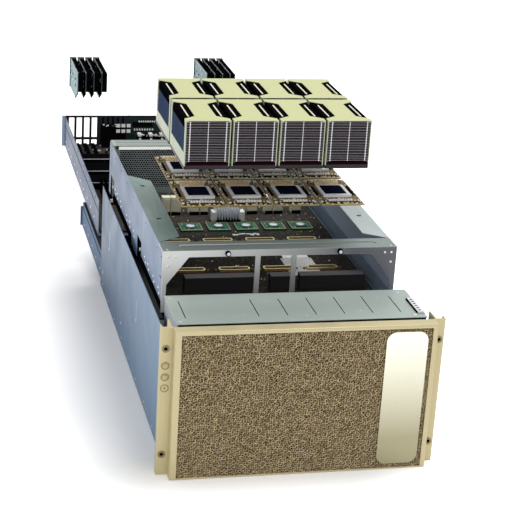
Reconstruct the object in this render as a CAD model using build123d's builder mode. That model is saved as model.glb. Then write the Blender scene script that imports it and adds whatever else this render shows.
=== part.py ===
"""A 6U AI server, drawn apart: millimetres, +Z up, front towards -Y.

The origin is the middle of the chassis's underside. The GPU tray, its modules and heatsinks, the
motherboard tray, the network cards and the supply drawer stand where they are when lifted or drawn
out, and each goes home along one straight way.
"""
from build123d import *
from math import cos, radians, sin
import os

os.makedirs("parts", exist_ok=True)

# Rack sizes
rack_unit = 44.45
rack_units = 6
rack_play = 0.8
height = rack_units * rack_unit - rack_play
ear_hole_span_x = 465.1
ear_hole_span_z = 190.5
ear_hole_edge = 8.75
ear_width = 18.3
rack_width = ear_hole_span_x + 2 * ear_hole_edge

# Sheet, boards and clearances
sheet = 1.5
board = 2.0
seat_gap = 0.3
slide_gap = 1.5

# Chassis
chassis_length = 873.0
chassis_width = rack_width - 2 * ear_width
half = chassis_width / 2
wall_drop = 41.9
wall_height = height - wall_drop
front = -chassis_length / 2
rear = chassis_length / 2
inner_half = half - sheet

# Rack ears
ear_sheet = 2.5
ear_return = 12.0
ear_flange = 34.0
ear_hole = 6.6
bush_outer = 13.0
bush_thick = 1.2

# Buttons and light on the left ear
button_size = 8.0
button_proud = 1.8
button_fit = 0.3
button_flange = 1.0
button_head = 1.5
key_pitch = 20.0
key_rise = 25.0
led_z = height / 2 + key_rise
id_button_z = led_z + key_pitch
power_button_z = id_button_z + key_pitch
led_size = 5.0
led_proud = 0.4

# Bezel
bezel_side_gap = 1.0
bezel_width = chassis_width - 2 * bezel_side_gap
bezel_depth = 24.0
bezel_back_gap = 0.3
foam_depth = 9.0
foam_side_left = 11.0
foam_side_right = 9.0
foam_top = 6.5
foam_bottom = 3.5
bezel_web = 2.0
bezel_rib = 12.0
bezel_edge = 3.0
bezel_windows = 4
foam_set_back = 0.5
plate_side_gap = 8.0
plate_width = 72.0
plate_top_gap = 5.0
plate_bottom_gap = 8.0
plate_corner = 17.0
plate_thick = 1.5

# Fan bay
bay_side_gap = 11.0
bay_width = chassis_width - 2 * bay_side_gap
bay_depth = 126.0
bay_start = 14.0
lid_drop = 1.9
lid_top = height - lid_drop
lid_margin = 1.9
shelf_height = 112.0
lid_strip_width = 13.0
lid_strip_length = 68.0
lid_strip_height = 1.6
lid_strip_start = 14.0
lid_strip_ribs = 6
seam_count = 7
seam_pitch = 49.2
seam_edge = 39.0
seam_length = 76.0
seam_width = 1.6
seam_depth = 0.7

# Fans
fan_count = 4
fan_pitch = (bay_width - 2 * sheet) / fan_count
fan_bore = 92.0
fan_duct = 38.0
fan_duct_wall = 2.0
fan_start = 44.0
fan_tip_gap = 2.5
fan_hub = 38.0
fan_shaft = 6.0
fan_shaft_gap = 0.3
fan_rotor_depth = 22.0
fan_motor_depth = 8.0
fan_spoke = 4.0
fan_front_wall = 2.0
fan_blades = 7
fan_blade_chord = 22.0
fan_blade_thick = 2.4
fan_blade_angle = 38.0

# Drives
drive_count = 8
drive_side_gap = 10.5
drive_pitch = (bay_width - 2 * sheet - 2 * drive_side_gap) / drive_count
drive_width = 20.0
drive_height = 78.0
drive_depth = 112.0
drive_start = 4.0
drive_rib = 6.0
drive_rib_depth = 96.0
drive_pull_inset = 12.0
drive_pull_depth = 2.0

# GPU tray
tray_lift = 60.0
tray_side_gap = 13.0
tray_half = half - tray_side_gap
tray_start = 189.0
tray_length = rear - front - tray_start
tray_top = height + tray_lift
tray_height = 112.9
tray_floor = tray_top - tray_height
tray_wall_bottom = tray_floor + 20.0
tray_curb_gap = 3.5
tray_curb_height = 27.0
tray_curb_rise_left = 19.0
tray_skirt = 30.0
tray_flange_start = 30.0
tray_flange_end = 436.0
tray_flange_taper = 38.0
tray_slot_length = 52.0
tray_slot_rise = 45.0
tray_slot_start = 230.0
tray_tab_length = 70.0
tray_rear_tab_length = 24.0
flange_hole = 9.0
flange_hole_steps = (172.0, 366.0)
bar_depth = 46.0
bar_lip = 8.0
groove_width = 16.0
groove_depth = 1.0
post_width = 9.0
post_centres = (-42.0, 23.0)
frame_opening_top = 12.0
frame_opening_side = 8.0
frame_corner_drop = 50.0
frame_corner_run = 38.0
frame_sill = 9.0
grille_back = 42.0
grille_top_drop = 4.0
grille_hole = 15.0
grille_pitch = 22.0
grille_rows = 4
thumbscrew_size = 9.0
thumbscrew_head = 7.0
thumbscrew_places = (-96.0, 105.0)

# Chassis runners under the GPU tray
runner_overlap = 11.0
runner_height = 10.0
runner_end = 1.0

# Baseboard
base_board_rise = 12.0
base_board_top = tray_floor + base_board_rise
base_board_side_gap = 13.5
base_board_start = 44.0
base_board_end_gap = 11.0
standoff_size = 12.0
standoff_inset = 20.0
connector_length = 58.0
connector_width = 16.0
connector_shift = (-3.5, 17.5)
connector_height = 5.0
connector_wall = 2.0
switch_board_size = 45.0
switch_board_height = 4.0
switch_board_start = 377.5
switch_count = 5
switch_pitch = 56.4
switch_shift = 28.0
switch_sink_start = 436.0
switch_sink_width = 50.0
switch_sink_depth = 36.0
switch_sink_height = 27.0
switch_sink_fins = 9
switch_sink_floor = 5.0
duct_start = 46.0
duct_depth = 22.0
duct_height = 32.0
duct_left_gap = 30.0
duct_right_gap = 19.0
duct_splits = (-32.0, -4.0, 35.0, 50.0)

# GPU modules and heatsinks
gpu_columns = 4
gpu_rows = 2
gpu_pitch_x = 84.3
gpu_pitch_y = 157.0
gpu_width = 80.0
gpu_depth = 146.0
gpu_row_start = 72.0
gpu_lift = 149.3
gpu_frame = 58.0
gpu_frame_height = 2.7
gpu_die_width = 40.0
gpu_die_depth = 46.0
gpu_die_height = 2.0
gpu_coil_height = 3.6
gpu_coil_width = 8.0
gpu_coil_depth = 7.0
gpu_coil_pitch_x = 11.0
gpu_coil_pitch_y = 12.0
gpu_flange_gap = 1.55
sink_lift = 62.4
sink_base = 6.0
sink_height = 87.5
sink_sheet = 1.2
sink_fins = 13
sink_fin = 1.4
sink_web = 4.0
sink_side_gap = 0.3
sink_top_gap = 1.0
sink_notch_depth = 21.0
sink_notch_outer = 116.0
sink_notch_inner = 84.0
sink_window_bottom = 28.0
sink_window_margin = 9.0
sink_lip = 4.0

# Motherboard tray
host_draw = 867.0
host_side_gap = 11.0
host_half = half - host_side_gap
host_length = 726.0
host_floor = 60.0
host_height = 82.0
host_top = host_floor + host_height
host_panel_half = inner_half - slide_gap
host_panel_rise = 2.0
host_panel_top = host_top + host_panel_rise
host_board_gap = 3.5
host_board_margin = 5.5
host_board_start = 16.0
host_board_end = 20.0
slot_width = 14.0
slot_bottom = host_floor + 24.5
slot_top = host_top - 3.5
vent_bottom = host_floor + 4.5
vent_top = host_floor + 17.5
knob_size = 10.0
knob_length = 8.0
knob_x = -38.0
card_socket_height = 7.2
card_socket_width = 8.0
card_socket_length = 90.0
cpu_places = (-70.0, 70.0)
cpu_width = 92.0
cpu_depth = 110.0
cpu_start = 210.0
cpu_height = 56.0
cpu_fins = 9
cpu_sink_floor = 8.0
port_depth = 26.0
port_blocks = ((-118.0, -54.0, 58.0), (-20.0, 110.0, 30.0))
memory_gap = 12.0
memory_banks = 4
memory_overhang = 26.0
memory_height = 32.0
memory_thick = 6.0
memory_pitch = 11.0

# Network cards
card_count = 4
card_pitch = 20.32
card_lift = 151.5
card_left_gap = 7.5
card_right_gap = 1.5
card_end_gap = 8.0
card_length = 168.0
card_height = 76.5
card_thick = 1.6
card_nose_run = 47.0
card_nose_rise = 22.0
card_block = 13.0
card_block_length = 118.0
card_block_height = 42.0
card_block_start = 18.0
card_block_drop = 8.0
bracket_width = 17.6
bracket_left = 3.0
bracket_thick = 1.0
bracket_lip = 10.0

# Supply drawer
drawer_side_gap = 2.5
drawer_half = inner_half - drawer_side_gap
drawer_overlap = 213.0
drawer_length = 600.0
drawer_floor = 2.0
drawer_top = 48.0
drawer_rail_overlap = 3.5
drawer_rail_bottom = 30.0
supply_count = 6
supply_margin = 1.5
supply_gap = 3.0
supply_height = 40.0
supply_length = 185.0
supply_wall = 1.0
supply_face_rim = 3.0


def across(y):
    """The upright plane across the machine at depth y, with X to the right and Z up."""
    return Plane.XZ.offset(-y)


def along(x):
    """The upright plane along the machine at x, with Y to the right and Z up."""
    return Plane.YZ.offset(x)


def block(x0, x1, y0, y1, z0, z1, mode=Mode.ADD):
    """A straight block between two corners, in the part being built."""
    with BuildSketch(Plane.XY.offset(z0)) as outline:
        with Locations(((x0 + x1) / 2, (y0 + y1) / 2)):
            Rectangle(x1 - x0, y1 - y0)
    extrude(outline.sketch, amount=z1 - z0, dir=(0, 0, 1), mode=mode)


def profile_across(points, y0, y1, mode=Mode.ADD):
    """An (x, z) outline run from depth y0 back to y1."""
    with BuildSketch(across(y0)) as outline:
        with BuildLine():
            Polyline(*points, close=True)
        make_face()
    extrude(outline.sketch, amount=y1 - y0, dir=(0, 1, 0), mode=mode)


def profile_along(points, x0, x1, mode=Mode.ADD):
    """A (y, z) outline run from x0 to x1."""
    with BuildSketch(along(x0)) as outline:
        with BuildLine():
            Polyline(*points, close=True)
        make_face()
    extrude(outline.sketch, amount=x1 - x0, dir=(1, 0, 0), mode=mode)


def drill_across(x, z, y0, y1, size, mode=Mode.SUBTRACT):
    """A round hole or pin along Y between two depths."""
    with BuildSketch(across(y0)) as outline:
        with Locations((x, z)):
            Circle(size / 2)
    extrude(outline.sketch, amount=y1 - y0, dir=(0, 1, 0), mode=mode)


def comb_across(centre, width, fins, bottom, root, top, y0, y1):
    """A base with upright fins, as one outline run from depth y0 back to y1."""
    step = width / (2 * fins - 1)
    points = [(centre - width / 2, bottom)]
    for i in range(fins):
        left = centre - width / 2 + 2 * i * step
        points += [(left, top), (left + step, top)]
        if i < fins - 1:
            points += [(left + step, root), (left + 2 * step, root)]
    points += [(centre + width / 2, bottom)]
    profile_across(points, y0, y1)


def save(piece, name):
    """Label a finished piece and write its file."""
    piece.label = name
    export_step(piece, f"parts/{name}.step")


# Chassis shell: one folded tray with the GPU tray's runners on its walls
runner_top = tray_floor - tray_lift - seat_gap
runner_inner = tray_half - sheet - runner_overlap
with BuildPart() as chassis_shell:
    profile_across(
        [(-half, 0), (half, 0), (half, wall_height), (inner_half, wall_height), (inner_half, sheet),
         (-inner_half, sheet), (-inner_half, wall_height), (-half, wall_height)],
        front + ear_sheet, rear)
    for side in (-1, 1):
        edge = side * inner_half
        profile_across(
            [(edge, runner_top - runner_height), (edge - side * sheet, runner_top - runner_height),
             (edge - side * sheet, runner_top - sheet), (side * runner_inner, runner_top - sheet),
             (side * runner_inner, runner_top), (edge, runner_top)],
            front + tray_start, rear - runner_end)
save(chassis_shell.part, "chassis_shell")

# Fan bay frame: two walls, the shelf between fans and drives, and ribs on each side of every caddy
bay_half = bay_width / 2
bay_front = front + bay_start
bay_back = bay_front + bay_depth
lid_under = lid_top - sheet
drive_front = bay_front + drive_start
drive_xs = [drive_pitch * (i - (drive_count - 1) / 2) for i in range(drive_count)]
rib_xs = [x + side * (drive_width / 2 + seat_gap + drive_rib / 2) for x in drive_xs for side in (-1, 1)]
with BuildPart() as fan_bay_frame:
    for side in (-1, 1):
        profile_across(
            [(side * bay_half, sheet), (side * bay_half, lid_under),
             (side * (bay_half - sheet), lid_under), (side * (bay_half - sheet), sheet)],
            bay_front, bay_back)
        foot = side * inner_half
        block(min(side * bay_half, foot), max(side * bay_half, foot), bay_front, bay_back,
              sheet, 2 * sheet)
    block(-bay_half + sheet, bay_half - sheet, bay_front, bay_back, shelf_height, shelf_height + sheet)
    for x in rib_xs:
        block(x - drive_rib / 2, x + drive_rib / 2, drive_front, drive_front + drive_rib_depth,
              sheet, shelf_height)
save(fan_bay_frame.part, "fan_bay_frame")

# Front lid: the cover over the fans, with its seams and a ribbed strip at the right
lid_half = bay_half + lid_margin
seam_xs = [lid_half - seam_edge - seam_pitch * i for i in range(seam_count - 1)]
seam_xs += [-lid_half + seam_edge / 2]
with BuildPart() as front_lid:
    block(-lid_half, lid_half, bay_front, bay_back, lid_under, lid_top)
    with BuildSketch(Plane.XY.offset(lid_top)):
        with Locations(*[(x, (bay_front + bay_back) / 2) for x in seam_xs]):
            Rectangle(seam_width, seam_length)
    extrude(amount=-seam_depth, mode=Mode.SUBTRACT)
    strip_start = bay_front + lid_strip_start
    block(lid_half - lid_strip_width, lid_half, strip_start, strip_start + lid_strip_length,
          lid_top, lid_top + lid_strip_height)
    rib_step = lid_strip_length / lid_strip_ribs
    with BuildSketch(Plane.XY.offset(lid_top + lid_strip_height)):
        with Locations(*[(lid_half - lid_strip_width / 2, strip_start + rib_step * (i + 1))
                         for i in range(lid_strip_ribs - 1)]):
            Rectangle(lid_strip_width, rib_step / 3)
    extrude(amount=-lid_strip_height / 2, mode=Mode.SUBTRACT)
save(front_lid.part, "front_lid")

# Fan wall: a plate with four ducts, each with a spider and a shaft for its rotor
fan_floor = shelf_height + sheet
fan_z = (fan_floor + lid_under) / 2
fan_front = front + fan_start
fan_back = fan_front + fan_duct
fan_xs = [fan_pitch * (i - (fan_count - 1) / 2) for i in range(fan_count)]
motor_front = fan_back - fan_motor_depth
shaft_front = motor_front - fan_rotor_depth + fan_front_wall
with BuildPart() as fan_wall:
    block(-bay_half + sheet, bay_half - sheet, fan_front, fan_front + 2 * sheet, fan_floor, lid_under)
    for x in fan_xs:
        drill_across(x, fan_z, fan_front, fan_back, fan_bore + 2 * fan_duct_wall, mode=Mode.ADD)
    spoke_length = fan_bore + fan_duct_wall
    for x in fan_xs:
        drill_across(x, fan_z, fan_front, fan_back, fan_bore)
        with BuildSketch(across(fan_back)):
            with Locations((x, fan_z)):
                Rectangle(spoke_length, fan_spoke)
                Rectangle(fan_spoke, spoke_length)
        extrude(amount=fan_spoke)
        drill_across(x, fan_z, motor_front, fan_back, fan_hub, mode=Mode.ADD)
        drill_across(x, fan_z, shaft_front, fan_back, fan_shaft, mode=Mode.ADD)
save(fan_wall.part, "fan_wall")

# Fan rotors: a hub with pitched blades, bored for the shaft
rotor_back = motor_front - seat_gap
rotor_radius = fan_bore / 2 - fan_tip_gap
for number, x in enumerate(fan_xs, 1):
    with BuildPart() as fan_rotor:
        drill_across(x, fan_z, rotor_back - fan_rotor_depth, rotor_back, fan_hub, mode=Mode.ADD)
        for blade in range(fan_blades):
            turn = radians(blade * 360 / fan_blades)
            out = (cos(turn), 0, sin(turn))
            lean = radians(fan_blade_angle)
            chord = (-sin(turn) * sin(lean), cos(lean), cos(turn) * sin(lean))
            root = fan_hub / 2 - sheet
            with BuildSketch(Plane(origin=(x + out[0] * root, rotor_back - fan_rotor_depth / 2,
                                           fan_z + out[2] * root), x_dir=chord, z_dir=out)):
                Rectangle(fan_blade_chord, fan_blade_thick)
            extrude(amount=rotor_radius - root)
        drill_across(x, fan_z, rotor_back - fan_rotor_depth + fan_front_wall, rotor_back,
                     fan_shaft + 2 * fan_shaft_gap)
    save(fan_rotor.part, f"fan_rotor_{number}")

# Drive caddies: eight alike, each with a pull face in front
caddy_floor = sheet
with BuildPart() as drive_caddies:
    for x in drive_xs:
        block(x - drive_width / 2, x + drive_width / 2, drive_front, drive_front + drive_depth,
              caddy_floor, caddy_floor + drive_height)
        block(x - drive_width / 4, x + drive_width / 4, drive_front, drive_front + drive_pull_depth,
              caddy_floor + drive_pull_inset, caddy_floor + drive_height - drive_pull_inset,
              mode=Mode.SUBTRACT)
save(drive_caddies.part, "drive_caddies")

# Rack ears: a face with two holes, an outer return and a flange along the chassis wall
ear_outer = rack_width / 2
hole_z = height / 2
ear_centre = (ear_outer + half) / 2
for side, name in ((-1, "left"), (1, "right")):
    with BuildPart() as rack_ear:
        profile = [(side * inner_half, front), (side * ear_outer, front),
                   (side * ear_outer, front + ear_return),
                   (side * (ear_outer - ear_sheet), front + ear_return),
                   (side * (ear_outer - ear_sheet), front + ear_sheet),
                   (side * (half + ear_sheet), front + ear_sheet),
                   (side * (half + ear_sheet), front + ear_flange), (side * half, front + ear_flange),
                   (side * half, front + ear_sheet), (side * inner_half, front + ear_sheet)]
        with BuildSketch(Plane.XY):
            with BuildLine():
                Polyline(*profile, close=True)
            make_face()
        extrude(amount=height)
        for end in (-1, 1):
            drill_across(side * ear_hole_span_x / 2, hole_z + end * ear_hole_span_z / 2, front,
                         front + ear_sheet, ear_hole)
        if side < 0:
            for z in (power_button_z, id_button_z):
                drill_across(-ear_centre, z, front, front + ear_sheet, button_size + 2 * button_fit)
            drill_across(-ear_centre, led_z, front, front + ear_sheet, led_size)
    save(rack_ear.part, f"rack_ear_{name}")

# Ear bushes: four rings round the rack holes
with BuildPart() as ear_bushes:
    for side in (-1, 1):
        for end in (-1, 1):
            x, z = side * ear_hole_span_x / 2, hole_z + end * ear_hole_span_z / 2
            drill_across(x, z, front - bush_thick, front, bush_outer, mode=Mode.ADD)
            drill_across(x, z, front - bush_thick, front, ear_hole)
save(ear_bushes.part, "ear_bushes")

# Buttons: a cap through the ear with a flange behind it, and the room for its travel
for name, z in (("power_button", power_button_z), ("id_button", id_button_z)):
    with BuildPart() as push_button:
        flange_front = front + ear_sheet + seat_gap
        drill_across(-ear_centre, z, front - button_proud, flange_front, button_size, mode=Mode.ADD)
        drill_across(-ear_centre, z, flange_front, flange_front + button_flange,
                     button_size + 2 * button_head, mode=Mode.ADD)
        fillet(push_button.faces().sort_by(Axis.Y)[0].edges(), 0.6)
    save(push_button.part, name)

# Status light: a small lens pressed into the ear
with BuildPart() as status_led:
    drill_across(-ear_centre, led_z, front - led_proud, front + ear_sheet, led_size, mode=Mode.ADD)
save(status_led.part, "status_led")

# Bezel frame: a deep rim, a pocket for the foam, and ribs with openings behind it
bezel_half = bezel_width / 2
bezel_front = front - bezel_depth
bezel_back = front - bezel_back_gap
foam_x = (-bezel_half + foam_side_left, bezel_half - foam_side_right)
foam_z = (foam_bottom, height - foam_top)
foam_back = bezel_front + foam_depth
window_step = (foam_x[1] - foam_x[0] - bezel_rib) / bezel_windows
with BuildPart() as bezel_frame:
    block(-bezel_half, bezel_half, bezel_front, bezel_back, 0, height)
    fillet(bezel_frame.faces().sort_by(Axis.Y)[0].edges(), bezel_edge)
    block(*foam_x, bezel_front, foam_back, *foam_z, mode=Mode.SUBTRACT)
    block(foam_x[0] + bezel_web, foam_x[1] - bezel_web, foam_back + bezel_web, bezel_back,
          foam_z[0] + bezel_web, foam_z[1] - bezel_web, mode=Mode.SUBTRACT)
    for i in range(bezel_windows):
        start = foam_x[0] + bezel_rib + i * window_step
        block(start, start + window_step - bezel_rib, foam_back, foam_back + bezel_web,
              foam_z[0] + bezel_rib, foam_z[1] - bezel_rib, mode=Mode.SUBTRACT)
save(bezel_frame.part, "bezel_frame")

# Foam panel: fills the pocket, recessed for the plate
plate_x = (foam_x[1] - plate_side_gap - plate_width, foam_x[1] - plate_side_gap)
plate_z = (foam_z[0] + plate_bottom_gap, foam_z[1] - plate_top_gap)
with BuildPart() as bezel_foam:
    block(*foam_x, bezel_front + foam_set_back, foam_back, *foam_z)
save(bezel_foam.part, "bezel_foam")

# Name plate: bare, with well-rounded corners, stuck on the foam
with BuildPart() as name_plate:
    with BuildSketch(across(bezel_front + foam_set_back)):
        with Locations(((plate_x[0] + plate_x[1]) / 2, (plate_z[0] + plate_z[1]) / 2)):
            RectangleRounded(plate_width, plate_z[1] - plate_z[0], plate_corner)
    extrude(amount=plate_thick)
save(name_plate.part, "name_plate")

# GPU tray base: the dark pan, with a curb inside each side wall and skirts inside the runners
tray_front = front + tray_start
tray_back = tray_front + tray_length
wall_inner = tray_half - sheet
curb_half = wall_inner - tray_curb_gap
tray_curb_top = tray_floor + tray_curb_height
left_curb_top = tray_curb_top + tray_curb_rise_left
skirt_half = runner_inner - slide_gap
skirt_bottom = tray_floor - tray_skirt
with BuildPart() as gpu_tray_base:
    profile_across(
        [(-wall_inner, tray_floor), (wall_inner, tray_floor), (wall_inner, tray_floor + sheet),
         (curb_half, tray_floor + sheet), (curb_half, tray_curb_top), (curb_half - sheet, tray_curb_top),
         (curb_half - sheet, tray_floor + sheet), (-curb_half + sheet, tray_floor + sheet),
         (-curb_half + sheet, left_curb_top), (-curb_half, left_curb_top), (-curb_half, tray_floor + sheet),
         (-wall_inner, tray_floor + sheet)],
        tray_front + sheet, tray_back - sheet)
    for side in (-1, 1):
        x0, x1 = sorted((side * skirt_half, side * (skirt_half - sheet)))
        block(x0, x1, tray_front + sheet, tray_back - sheet, skirt_bottom, tray_floor)
save(gpu_tray_base.part, "gpu_tray_base")

# GPU tray sides: sheet walls with hanging tabs and a broad top flange, slotted on the left
flange_under = tray_top - sheet
gpu_half_span = gpu_pitch_x * (gpu_columns - 1) / 2 + gpu_width / 2
flange_inner = gpu_half_span + gpu_flange_gap
wall_end = tray_back - sheet
slot_y = tray_front + tray_slot_start
tab_y = slot_y + tray_slot_length
tab_end = tab_y + tray_tab_length
rear_tab_y = wall_end - tray_rear_tab_length
rear_slot_y = rear_tab_y - tray_slot_length
tray_slot_top = tray_floor + tray_slot_rise
for side, name in ((-1, "left"), (1, "right")):
    with BuildPart() as tray_side:
        x0, x1 = sorted((side * tray_half, side * wall_inner))
        block(x0, x1, tray_front + sheet, wall_end, tray_wall_bottom, flange_under)
        block(x0, x1, tab_y, tab_end, tray_floor, tray_wall_bottom)
        block(x0, x1, rear_tab_y, wall_end, tray_floor, tray_wall_bottom)
        if name == "left":
            block(x0, x1, slot_y, tab_y, tray_wall_bottom, tray_slot_top, mode=Mode.SUBTRACT)
            block(x0, x1, rear_slot_y, rear_tab_y, tray_wall_bottom, tray_slot_top, mode=Mode.SUBTRACT)
        flange_outer = (tray_front + bar_depth, tray_front + tray_flange_end)
        flange_in = side * flange_inner
        with BuildSketch(Plane.XY.offset(flange_under)):
            with BuildLine():
                Polyline((side * tray_half, flange_outer[0]),
                         (flange_in, flange_outer[0] + tray_flange_start),
                         (flange_in, flange_outer[1] - tray_flange_taper),
                         (side * tray_half, flange_outer[1]),
                         close=True)
            make_face()
            with Locations(*[(side * (tray_half + flange_inner) / 2, tray_front + step)
                             for step in flange_hole_steps]):
                Circle(flange_hole / 2, mode=Mode.SUBTRACT)
        extrude(amount=sheet)
    save(tray_side.part, f"gpu_tray_side_{name}")

# Tray front frame: a plate with a broad cornered opening, two posts and a top bar with a long groove
opening_top = tray_top - frame_opening_top
opening_z = tray_floor + frame_sill
corner_half = tray_half - frame_opening_side
frame_opening_half = corner_half - frame_corner_run
with BuildPart() as tray_front_frame:
    profile_across(
        [(-tray_half, tray_floor), (tray_half, tray_floor), (tray_half, tray_top), (-tray_half, tray_top)],
        tray_front, tray_front + sheet)
    profile_across(
        [(-corner_half, opening_z), (corner_half, opening_z), (corner_half, opening_top - frame_corner_drop),
         (frame_opening_half, opening_top), (-frame_opening_half, opening_top),
         (-corner_half, opening_top - frame_corner_drop)],
        tray_front, tray_front + sheet, mode=Mode.SUBTRACT)
    for x in post_centres:
        block(x - post_width / 2, x + post_width / 2, tray_front, tray_front + 2 * sheet,
              opening_z, opening_top)
    bar_back = tray_front + bar_depth
    block(-tray_half, tray_half, tray_front + sheet, bar_back, flange_under, tray_top)
    block(-wall_inner, wall_inner, bar_back - sheet, bar_back, tray_top - bar_lip, flange_under)
    with BuildSketch(Plane.XY.offset(tray_top)):
        with Locations((0, tray_front + bar_depth / 2)):
            SlotOverall(2 * (tray_half - 2 * groove_width), groove_width)
    extrude(amount=-groove_depth, mode=Mode.SUBTRACT)
save(tray_front_frame.part, "tray_front_frame")

# Thumbscrews that hold the tray's front
with BuildPart() as tray_thumbscrews:
    for x in thumbscrew_places:
        screw_z = tray_top - frame_opening_top / 2
        drill_across(x, screw_z, tray_front - thumbscrew_head, tray_front, thumbscrew_size, mode=Mode.ADD)
save(tray_thumbscrews.part, "tray_thumbscrews")

# Tray rear grille: a perforated wall, a flat cover behind its top and the tray's back plate
grille_y = tray_back - grille_back
grille_top = tray_top - grille_top_drop
grille_bottom = tray_floor + sheet
grille_half = curb_half - sheet
hole_z0 = (base_board_top + grille_top) / 2
grille_columns = int(2 * grille_half // grille_pitch)
with BuildPart() as tray_rear_grille:
    block(-grille_half, grille_half, grille_y, grille_y + sheet, grille_bottom, flange_under)
    block(-wall_inner, wall_inner, grille_y, tray_back, flange_under, tray_top)
    block(-wall_inner, wall_inner, tray_back - sheet, tray_back, tray_floor, flange_under)
    with BuildSketch(across(grille_y)):
        with Locations((0, hole_z0)):
            with GridLocations(grille_pitch, grille_pitch, grille_columns, grille_rows):
                RegularPolygon(grille_hole / 2, 6)
    extrude(amount=-sheet, mode=Mode.SUBTRACT)
save(tray_rear_grille.part, "tray_rear_grille")

# Baseboard on its standoffs
board_front = tray_front + base_board_start
board_back = grille_y - base_board_end_gap
base_board_half = curb_half - sheet - base_board_side_gap
floor_top = tray_floor + sheet
board_under = base_board_top - board
with BuildPart() as gpu_baseboard:
    block(-base_board_half, base_board_half, board_front, board_back, board_under, base_board_top)
    with BuildSketch(Plane.XY.offset(floor_top)):
        with Locations((0, (board_front + board_back) / 2)):
            with GridLocations(base_board_half - standoff_inset,
                               (board_back - board_front) / 2 - standoff_inset, 3, 3):
                Rectangle(standoff_size, standoff_size)
    extrude(amount=board_under - floor_top)
save(gpu_baseboard.part, "gpu_baseboard")

# Places of the modules, front row first, left to right
gpu_front = front + tray_start + gpu_row_start
gpu_places = [(gpu_pitch_x * (column - (gpu_columns - 1) / 2),
               gpu_front + gpu_depth / 2 + row * gpu_pitch_y)
              for row in range(gpu_rows) for column in range(gpu_columns)]

# Mezzanine connectors: one rimmed socket under each module, a little behind its middle
with BuildPart() as mezzanine_connectors:
    for gpu_x, gpu_y in gpu_places:
        x = gpu_x + connector_shift[0]
        y = gpu_y + connector_shift[1]
        block(x - connector_length / 2, x + connector_length / 2, y - connector_width / 2,
              y + connector_width / 2, base_board_top, base_board_top + connector_height)
        block(x - connector_length / 2 + connector_wall, x + connector_length / 2 - connector_wall,
              y - connector_width / 2 + connector_wall, y + connector_width / 2 - connector_wall,
              base_board_top + connector_wall, base_board_top + connector_height, mode=Mode.SUBTRACT)
save(mezzanine_connectors.part, "mezzanine_connectors")

# Switch boards: five small boards in a row behind the modules
switch_y = tray_front + switch_board_start + switch_board_size / 2
with BuildPart() as switch_boards:
    with BuildSketch(Plane.XY.offset(base_board_top)):
        with Locations((switch_shift, switch_y)):
            with GridLocations(switch_pitch, 1, switch_count, 1):
                Rectangle(switch_board_size, switch_board_size)
    extrude(amount=switch_board_height)
save(switch_boards.part, "switch_boards")

# Switch heatsink: a low base with upright fins
sink_front = tray_front + switch_sink_start
with BuildPart() as switch_heatsink:
    comb_across(0, switch_sink_width, switch_sink_fins, base_board_top, base_board_top + switch_sink_floor,
                base_board_top + switch_sink_height, sink_front, sink_front + switch_sink_depth)
save(switch_heatsink.part, "switch_heatsink")

# Air guides on the board's front edge
duct_edges = (-base_board_half + duct_left_gap, *duct_splits, base_board_half - duct_right_gap)
with BuildPart() as air_guides:
    for x0, x1 in zip(duct_edges[::2], duct_edges[1::2]):
        block(x0, x1, tray_front + duct_start, tray_front + duct_start + duct_depth,
              base_board_top, base_board_top + duct_height)
save(air_guides.part, "air_guides")

# GPU modules: a board with a stiffening frame, a die and a connector below, lifted off the baseboard
gpu_bottom = base_board_top + connector_height + seat_gap + gpu_lift
gpu_top = gpu_bottom + board + gpu_frame_height + gpu_die_height
for number, (x, y) in enumerate(gpu_places, 1):
    with BuildPart() as gpu_module:
        block(x - gpu_width / 2, x + gpu_width / 2, y - gpu_depth / 2, y + gpu_depth / 2,
              gpu_bottom, gpu_bottom + board)
        block(x - gpu_frame / 2, x + gpu_frame / 2, y - gpu_frame / 2, y + gpu_frame / 2,
              gpu_bottom + board, gpu_bottom + board + gpu_frame_height)
        block(x - gpu_die_width / 2, x + gpu_die_width / 2, y - gpu_die_depth / 2, y + gpu_die_depth / 2,
              gpu_bottom + board, gpu_top)
        for end in (-1, 1):
            coil_y = y + end * (gpu_depth / 2 + gpu_frame / 2) / 2
            with BuildSketch(Plane.XY.offset(gpu_bottom + board)):
                with Locations((x, coil_y)):
                    with GridLocations(gpu_coil_pitch_x, gpu_coil_pitch_y, 6, 2):
                        Rectangle(gpu_coil_width, gpu_coil_depth)
            extrude(amount=gpu_coil_height)
    save(gpu_module.part, f"gpu_module_{number}")

# Heatsinks: a base plate with a stack of level fins on a middle web, lifted off the modules
sink_bottom = gpu_top + seat_gap + sink_lift
sink_top = sink_bottom + sink_height
fin_bottom = sink_bottom + sink_base
fin_half = gpu_width / 2 - sink_sheet - sink_side_gap
fin_pitch = (sink_top - sink_sheet - sink_top_gap - fin_bottom) / sink_fins
for number, (x, y) in enumerate(gpu_places, 1):
    with BuildPart() as heatsink_fins:
        tree = []
        for side in (-1, 1):
            half_tree = [(x + side * gpu_width / 2, sink_bottom), (x + side * gpu_width / 2, fin_bottom),
                         (x + side * sink_web / 2, fin_bottom)]
            for i in range(sink_fins):
                fin_z = fin_bottom + (i + 1) * fin_pitch
                half_tree += [(x + side * sink_web / 2, fin_z - sink_fin),
                              (x + side * fin_half, fin_z - sink_fin),
                              (x + side * fin_half, fin_z)]
                if i < sink_fins - 1:
                    half_tree += [(x + side * sink_web / 2, fin_z)]
            tree = half_tree if side < 0 else tree + half_tree[::-1]
        profile_across(tree, y - gpu_depth / 2 + sink_sheet + sink_side_gap,
                       y + gpu_depth / 2 - sink_side_gap)
    save(heatsink_fins.part, f"heatsink_fins_{number}")

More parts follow.
